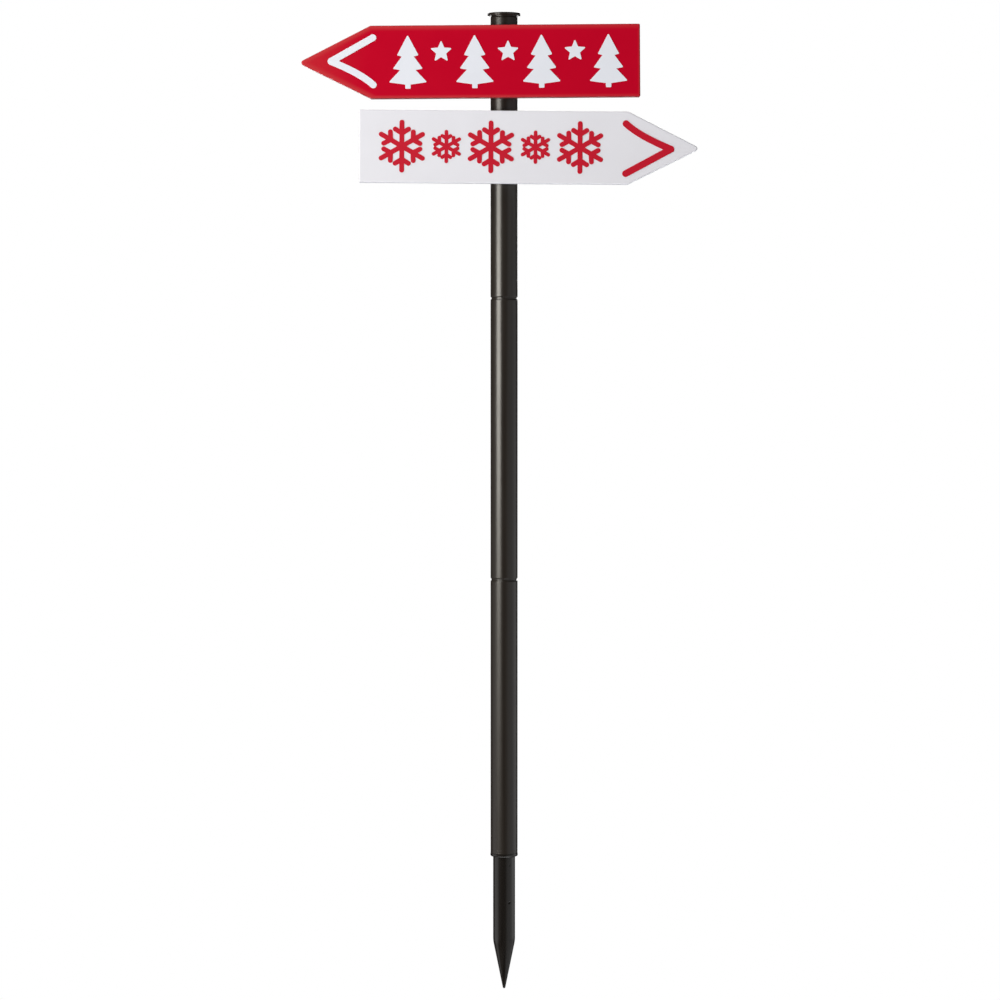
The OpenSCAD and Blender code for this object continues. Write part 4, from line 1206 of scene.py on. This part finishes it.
@dataclass
class LightBoard:
    """One arrow board: tray, cover, clamp, LED board, lights and screws."""

    side: Side
    shape: BoardShape
    inner_y: float = -17.5 * MM
    back_y: float = -15.5 * MM
    front_y: float = -31.5 * MM
    face_t: float = 2.0 * MM
    side_t: float = 2.0 * MM
    edge_r: float = 1.2 * MM
    inner_r: float = 1.0 * MM
    rim: float = 0.25 * MM
    screw_inset: float = 8.0 * MM
    screw_from_post: float = 31.0 * MM
    screw_from_point: float = 32.0 * MM
    screw_from_shoulder: float = 2.0 * MM
    boss_r: float = 3.2 * MM
    boss_fillet: float = 0.3 * MM
    boss_lap: float = 0.5 * MM
    pilot_r: float = 1.15 * MM
    pilot_len: float = 9.5 * MM
    ear_y: float = 4.6 * MM
    clamp_x: float = 19.695 * MM
    clamp_z: float = 9.0 * MM
    case_screw: PanScrew = PanScrew(1.1 * MM, 11 * MM, 2.5 * MM, 1.5 * MM)
    clamp_screw: PanScrew = PanScrew(1.5 * MM, 14 * MM, 2.9 * MM, 2 * MM)
    led_count: int = 10
    led_pitch: float = 24.0 * MM
    led_w: float = 3.5 * MM
    led_h: float = 1.4 * MM
    led_bevel: float = 0.15 * MM
    lens_rise: float = 0.3 * MM
    led_board_t: float = 1.2 * MM

    @property
    def word(self) -> str:
        """The start of this board's node names."""
        return self.side.value + "_sign_"

    def case_spots(self) -> list[Flat]:
        """Length and height of each case screw.

        Returns:
            The pairs, in the board's frame.
        """
        shape = self.shape
        z = shape.height / 2 - self.screw_inset
        xs = (self.screw_inset - shape.tail, -self.screw_from_post, self.screw_from_post,
              shape.body_len - shape.tail - self.screw_from_shoulder)
        pairs = [(x, s * z) for x in xs for s in (-1, 1)]
        return pairs + [(shape.tip - self.screw_from_point, 0.0)]

    def tray(self) -> Object:
        """The tray: rings from the open back round the softened front edge and back inside.

        Returns:
            The tray, in the board's frame.
        """
        r, inner_r, rim = self.edge_r, self.inner_r, self.rim
        floor = self.front_y + self.face_t
        levels = [(self.side_t + inner_r + BRACE, floor)]
        levels += [(self.side_t + inner_r - w, floor + inner_r - d)
                   for w, d in reversed(arc((0.0, 0.0), inner_r, 0, 90, 4))]
        levels += [(self.side_t, floor + inner_r + BRACE),
                   (self.side_t, self.inner_y - rim - BRACE),
                   (self.side_t, self.inner_y - rim), (self.side_t - rim, self.inner_y),
                   (rim, self.inner_y), (0.0, self.inner_y - rim),
                   (0.0, self.inner_y - rim - BRACE), (0.0, self.front_y + r + BRACE)]
        levels += [(r - w, self.front_y + r - d) for w, d in arc((0.0, 0.0), r, 0, 90, 8)]
        levels.append((r + BRACE, self.front_y))
        bm = bmesh.new()
        rings = [[bm.verts.new((x, y, z)) for x, z in self.shape.outline(inset)]
                 for inset, y in levels]
        skin(bm, rings)
        bm.faces.new(rings[-1])
        bm.faces.new(rings[0])
        return from_bmesh(self.word + "tray", bm)

    def boss(self) -> Object:
        """The post inside the tray that a case screw threads into, standing on y = inner_y.

        Returns:
            The post, along Y from the origin.
        """
        foot = self.front_y + self.face_t - self.boss_lap - self.inner_y
        fillet = self.boss_fillet
        profile = [(0.0, foot), (self.boss_r, foot), (self.boss_r, -fillet),
                   (self.boss_r - fillet, 0.0), (self.pilot_r + fillet, 0.0),
                   (self.pilot_r, -fillet), (self.pilot_r, -self.pilot_len), (0.0, -self.pilot_len)]
        made = lathe("boss", profile, 40)
        made.data.transform(Matrix.Rotation(-math.pi / 2, 4, "X"))
        return made

    def led(self) -> Object:
        """One LED on the board's face: a case with a low round lens.

        Returns:
            The LED.
        """
        bm = bmesh.new()
        bmesh.ops.create_cube(bm, size=1.0, matrix=(
            Matrix.Translation((0.0, -self.led_h / 2, 0.0))
            @ Matrix.Diagonal((self.led_w, self.led_h, self.led_w, 1.0))))
        bmesh.ops.bevel(bm, geom=list(bm.edges), offset=self.led_bevel, segments=2, affect="EDGES")
        case = from_bmesh("led", bm)
        lens_r, top, rise = 0.4 * self.led_w, self.led_h, self.lens_rise
        lens = lathe("lens", [(0.0, top / 2), (lens_r, top / 2), (lens_r, top + 0.3 * rise),
                              (0.8 * lens_r, top + 0.8 * rise), (0.0, top + rise)], 32)
        lens.data.transform(Matrix.Rotation(math.pi / 2, 4, "X"))
        join(case, lens)
        return case

    def build(self, shop: Workshop) -> None:
        """Builds the tray, the lights and the screws, and dresses the rest.

        Args:
            shop: The materials and trees.
        """
        word, plastic = self.word, self.side.value + "_plastic"
        tray = self.tray()
        posts = shop.spread(word + "posts", self.boss(), plastic,
                            [(x, self.inner_y, z) for x, z in self.case_spots()])
        tray.data.materials.append(shop.paints[plastic])
        join(tray, posts)
        self.settle(shop, tray, plastic, "front")

        heads = [(x, self.back_y, z) for x, z in self.case_spots()]
        ears = [(sx * self.clamp_x, self.ear_y, sz * self.clamp_z)
                for sx in (-1, 1) for sz in (-1, 1)]
        for kind, screw, spots in (("case_screws", self.case_screw, heads),
                                   ("clamp_screws", self.clamp_screw, ears)):
            made = shop.spread(word + kind + "_made", screw.build(), "steel", spots,
                               (0.0, math.pi / 2))
            self.settle(shop, made, "steel", kind)

        first = (-self.led_pitch * (self.led_count - 1) / 2, self.inner_y - self.led_board_t, 0.0)
        lights = shop.rows.make(word + "lights", shop.paints["led"], {
            "Part": self.led(), "Count": self.led_count, "Start": first, "Pitch": self.led_pitch})
        self.settle(shop, lights, "led", "leds")

        ink, ornaments = PRINTS[self.side]
        shop.dress(**{ink: f"{word}arrow {word}{ornaments}", plastic: word + "back",
                      "post_plastic": word + "clamp", "circuit_board": word + "led_board",
                      "black_rubber": word + "lead_bush"})

    def settle(self, shop: Workshop, piece: Object, slot: str, node: str) -> None:
        """Moves a piece from the board's frame into the row frame and hands it over.

        Args:
            shop: The materials and trees.
            piece: The piece. Its faces are turned out again where the board's frame is mirrored.
            slot: The record's material slot.
            node: The end of the CAD node's name.
        """
        piece.data.transform(self.shape.place)
        if self.shape.place.determinant() < 0:
            piece.data.flip_normals()
        shop.hand_over(piece, slot, self.word + node)


@dataclass
class PowerBox:
    """Battery box, charge circuit and switch on the back of the red board."""

    shape: BoardShape
    from_post: float = 56.0 * MM
    drop: float = 20.0 * MM
    back_y: float = -15.5 * MM
    battery_x: float = 2.1 * MM
    battery_len: float = 50.5 * MM
    spring_len: float = 5.0 * MM
    spring_turns: float = 5.0
    spring_radii: Flat = (2.6 * MM, 4.6 * MM)
    spring_wire: float = 0.6 * MM
    spring_steps: int = 140
    spring_sides: int = 10
    box_depth: float = 15.2 * MM
    lid_y: float = 2.6 * MM
    door_screw: PanScrew = PanScrew(1.1 * MM, 8 * MM, 2.5 * MM, 1.5 * MM)
    door_screw_x: float = 63.3 * MM
    door_screw_turn: float = 0.3

    @property
    def place(self) -> Matrix:
        """The box's frame: +X from its near end towards the board's square end."""
        return (self.shape.place @ Matrix.Translation((-self.from_post, self.back_y, -self.drop))
                @ Matrix.Diagonal((-1.0, 1.0, 1.0, 1.0)))

    def build(self, shop: Workshop) -> None:
        """Builds the spring and the door's screw, and dresses the rest.

        Args:
            shop: The materials and trees.
        """
        spring = coil_tree().make("battery_spring_coil", shop.paints["steel"], {
            "Turns": self.spring_turns, "Start Radius": self.spring_radii[0],
            "End Radius": self.spring_radii[1], "Length": self.spring_len, "Wire": self.spring_wire,
            "Steps": self.spring_steps, "Sides": self.spring_sides})
        at_spring = Matrix.Translation((self.battery_x + self.battery_len, self.box_depth / 2, 0.0))
        spring.data.transform(self.place @ at_spring)
        shop.hand_over(spring, "steel", "battery_spring")

        screw = shop.spread(
            "battery_door_screw_made", self.door_screw.build(), "steel",
            [(self.door_screw_x, self.lid_y - self.back_y, 0.0)],
            (self.door_screw_turn, self.door_screw_turn))
        screw.data.transform(self.place)
        shop.hand_over(screw, "steel", "battery_door_screw")

        shop.dress(red_plastic="battery_door", black_rubber="battery_door_gasket",
                   battery_sleeve="battery", contact_metal="battery_contacts",
                   lead_red="battery_lead", circuit_board="control_board",
                   steel="control_board_screws", ribbon="board_ribbon", switch_case="switch_body",
                   switch_black="switch_slider", lead_black="solar_lead sign_link_lead")


# Studio


@dataclass(frozen=True)
class Softbox:
    """A rectangular light: where it stands and points, its width and height, power and tint."""

    name: str
    eye: Point
    target: Point
    size: Flat
    watts: float
    tint: Colour = (1.0, 1.0, 1.0)

    def build(self) -> None:
        """Hangs the light."""
        light = bpy.data.lights.new(self.name, "AREA")
        light.shape, light.size, light.size_y = "RECTANGLE", *self.size
        light.energy, light.color = self.watts, self.tint
        aimed(light, self.eye, self.target)


@dataclass
class Studio:
    """Plain white floor, soft lights and the photograph's camera."""

    floor_z: float = -0.1345
    floor_size: float = 30.0
    eye: Point = (-0.0041, -3.700, 0.5278)
    target: Point = (-0.0041, 0.0, 0.3578)
    lens: float = 133.3
    dim_all: float = 0.03
    dim_right: float = 0.6
    dim_side: float = 0.9
    dim_left: float = 1.1
    lights: tuple[Softbox, ...] = (
        Softbox("key", (-1.92, -1.75, 0.56), (0.0, 0.0, 0.56), (1.6, 0.6), 56.0,
                (1.0, 0.965, 0.89)),
        Softbox("top", (-1.3, -1.2, 2.4), (0.0, 0.0, 0.7), (1.6, 1.2), 34.0),
        Softbox("bounce", (0.0, 0.0, -2.4), (0.0, 0.0, 0.75), (2.4, 2.4), 78.0),
        Softbox("back", (0.2, 3.0, 1.4), (0.0, 0.0, 0.6), (1.6, 1.6), 48.0),
    )

    def build(self) -> None:
        """Sets the floor, the world, the lights and the camera."""
        self.floor()
        self.world()
        for light in self.lights:
            light.build()
        self.camera()

    def floor(self) -> None:
        """A white floor, which lights nothing."""
        bm = bmesh.new()
        bmesh.ops.create_grid(bm, x_segments=1, y_segments=1, size=self.floor_size / 2,
                              matrix=Matrix.Translation((0.0, 0.0, self.floor_z)))
        floor = from_bmesh("floor", bm)
        graph = Shader("studio_floor")
        graph.node("ShaderNodeOutputMaterial", {
            "Surface": graph.wire("ShaderNodeEmission", {"Color": WHITE, "Strength": 1.0})})
        floor.data.materials.append(graph.material)
        floor.visible_diffuse = floor.visible_glossy = floor.visible_shadow = False

    def world(self) -> None:
        """White where the camera looks past the object. The light it gives is dim, stronger from
        the right and, low down, from the left.
        """
        world = bpy.data.worlds.new("studio")
        world.use_nodes = True
        graph = Graph(world.node_tree)
        world.node_tree.nodes.clear()
        seen = graph.wire("ShaderNodeLightPath", out="Is Camera Ray")
        x, y, z = graph.split(graph.wire("ShaderNodeTexCoord", out="Generated"))
        side = self.dim_side * y.ramp(-0.6, 0.3) * (-z).ramp(-0.03, 0.08) * z.ramp(-0.22, -0.1)
        right = x.ramp(0.15, 0.75) * (-y).ramp(-0.75, -0.4) * (
            self.dim_right * (-y - 5.0 * z).ramp(-0.9, 0.5) + side)
        left = self.dim_left * (-x).ramp(0.8, 0.97) * (-y).ramp(-0.8, -0.2) * (-z).ramp(0.03, 0.17)
        dim, white = (graph.wire("ShaderNodeBackground", {"Color": WHITE, "Strength": strength})
                      for strength in (self.dim_all + right + left, 1.0))
        both = graph.wire("ShaderNodeMixShader", {0: seen, 1: dim, 2: white})
        graph.node("ShaderNodeOutputWorld", {"Surface": both})
        bpy.context.scene.world = world
        bpy.context.scene.view_settings.view_transform = "Standard"

    def camera(self) -> None:
        """The photograph's camera."""
        lens = bpy.data.cameras.new("photo")
        lens.lens, lens.sensor_width = self.lens, 36.0
        lens.clip_start, lens.clip_end = 0.1, 100.0
        bpy.context.scene.camera = aimed(lens, self.eye, self.target)


def finishes(red: BoardShape, white: BoardShape) -> list[Finish]:
    """Every finish of the sign.

    Args:
        red: The red board's outline.
        white: The white board's outline.

    Returns:
        The finishes, one for each material slot of the record.
    """
    low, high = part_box("battery")
    milky = (0.80, 0.805, 0.875)
    return [
        PostPlastic("satin_post_plastic", "post_plastic", (0.0115, 0.008, 0.0055), 0.3),
        # Both boards carry painted light along the outline and painted shade on the rim; on the red
        # one the point end is painted lighter too.
        BoardPlastic("red_board_plastic", "red_plastic", (0.52, 0.001, 0.019), 0.3, painted_tip_light=0.45,
                     outline=red),
        BoardPlastic("white_board_plastic", "white_plastic", milky, 0.3,
                     rim=(0.80, 0.815, 0.875), painted_glow=milky, outline=white),
        Ink("white_ink", "white_print", (0.8, 0.83, 0.92), 0.5),
        Ink("red_ink", "red_print", (0.55, 0.003, 0.022), 0.5),
        Silicon("cell_silicon", "solar_cell", (0.006, 0.012, 0.05), 0.25),
        CellGlass("cell_resin", "clear_window", (0.9, 0.93, 0.95), 0.08),
        Finish("seal_rubber", "black_rubber", (0.014, 0.014, 0.015), 0.7, 0.05 * MM),
        Metal("plated_steel", "steel", (0.6, 0.6, 0.62), 0.3),
        Metal("contact_nickel", "contact_metal", (0.66, 0.63, 0.54), 0.28),
        SolderMask("board_mask", "circuit_board", (0.012, 0.14, 0.05), 0.35),
        Finish("led_phosphor", "led", (0.85, 0.68, 0.2), 0.25),
        Sleeve("cell_sleeve", "battery_sleeve", (0.03, 0.28, 0.07), 0.3,
               axis_from=low.x, length=high.x - low.x),
        Finish("lead_jacket", "lead_black", (0.014, 0.014, 0.015), 0.5, 0.03 * MM),
        Finish("wire_jacket", "lead_red", (0.45, 0.01, 0.012), 0.45, 0.03 * MM),
        Finish("ribbon_jacket", "ribbon", (0.58, 0.58, 0.6), 0.5, 0.05 * MM),
        Metal("switch_shell", "switch_case", (0.5, 0.5, 0.52), 0.35),
        Finish("slider_plastic", "switch_black", (0.015, 0.015, 0.016), 0.45, 0.04 * MM),
    ]


def main() -> None:
    """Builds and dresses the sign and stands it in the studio."""
    logging.basicConfig(level=logging.INFO, format="%(name)s: %(message)s")
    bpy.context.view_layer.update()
    red = BoardShape(True, 134.2 * MM, 792.7 * MM)
    white = BoardShape(False, 143.4 * MM, 708.2 * MM)
    shop = Workshop()
    shop.learn(finishes(red, white))
    for assembly in (Post(), Spike(), SolarCap(), LightBoard(Side.RED, red),
                     LightBoard(Side.WHITE, white), PowerBox(red)):
        assembly.build(shop)
    Studio().build()


if __name__ == "__main__":
    main()
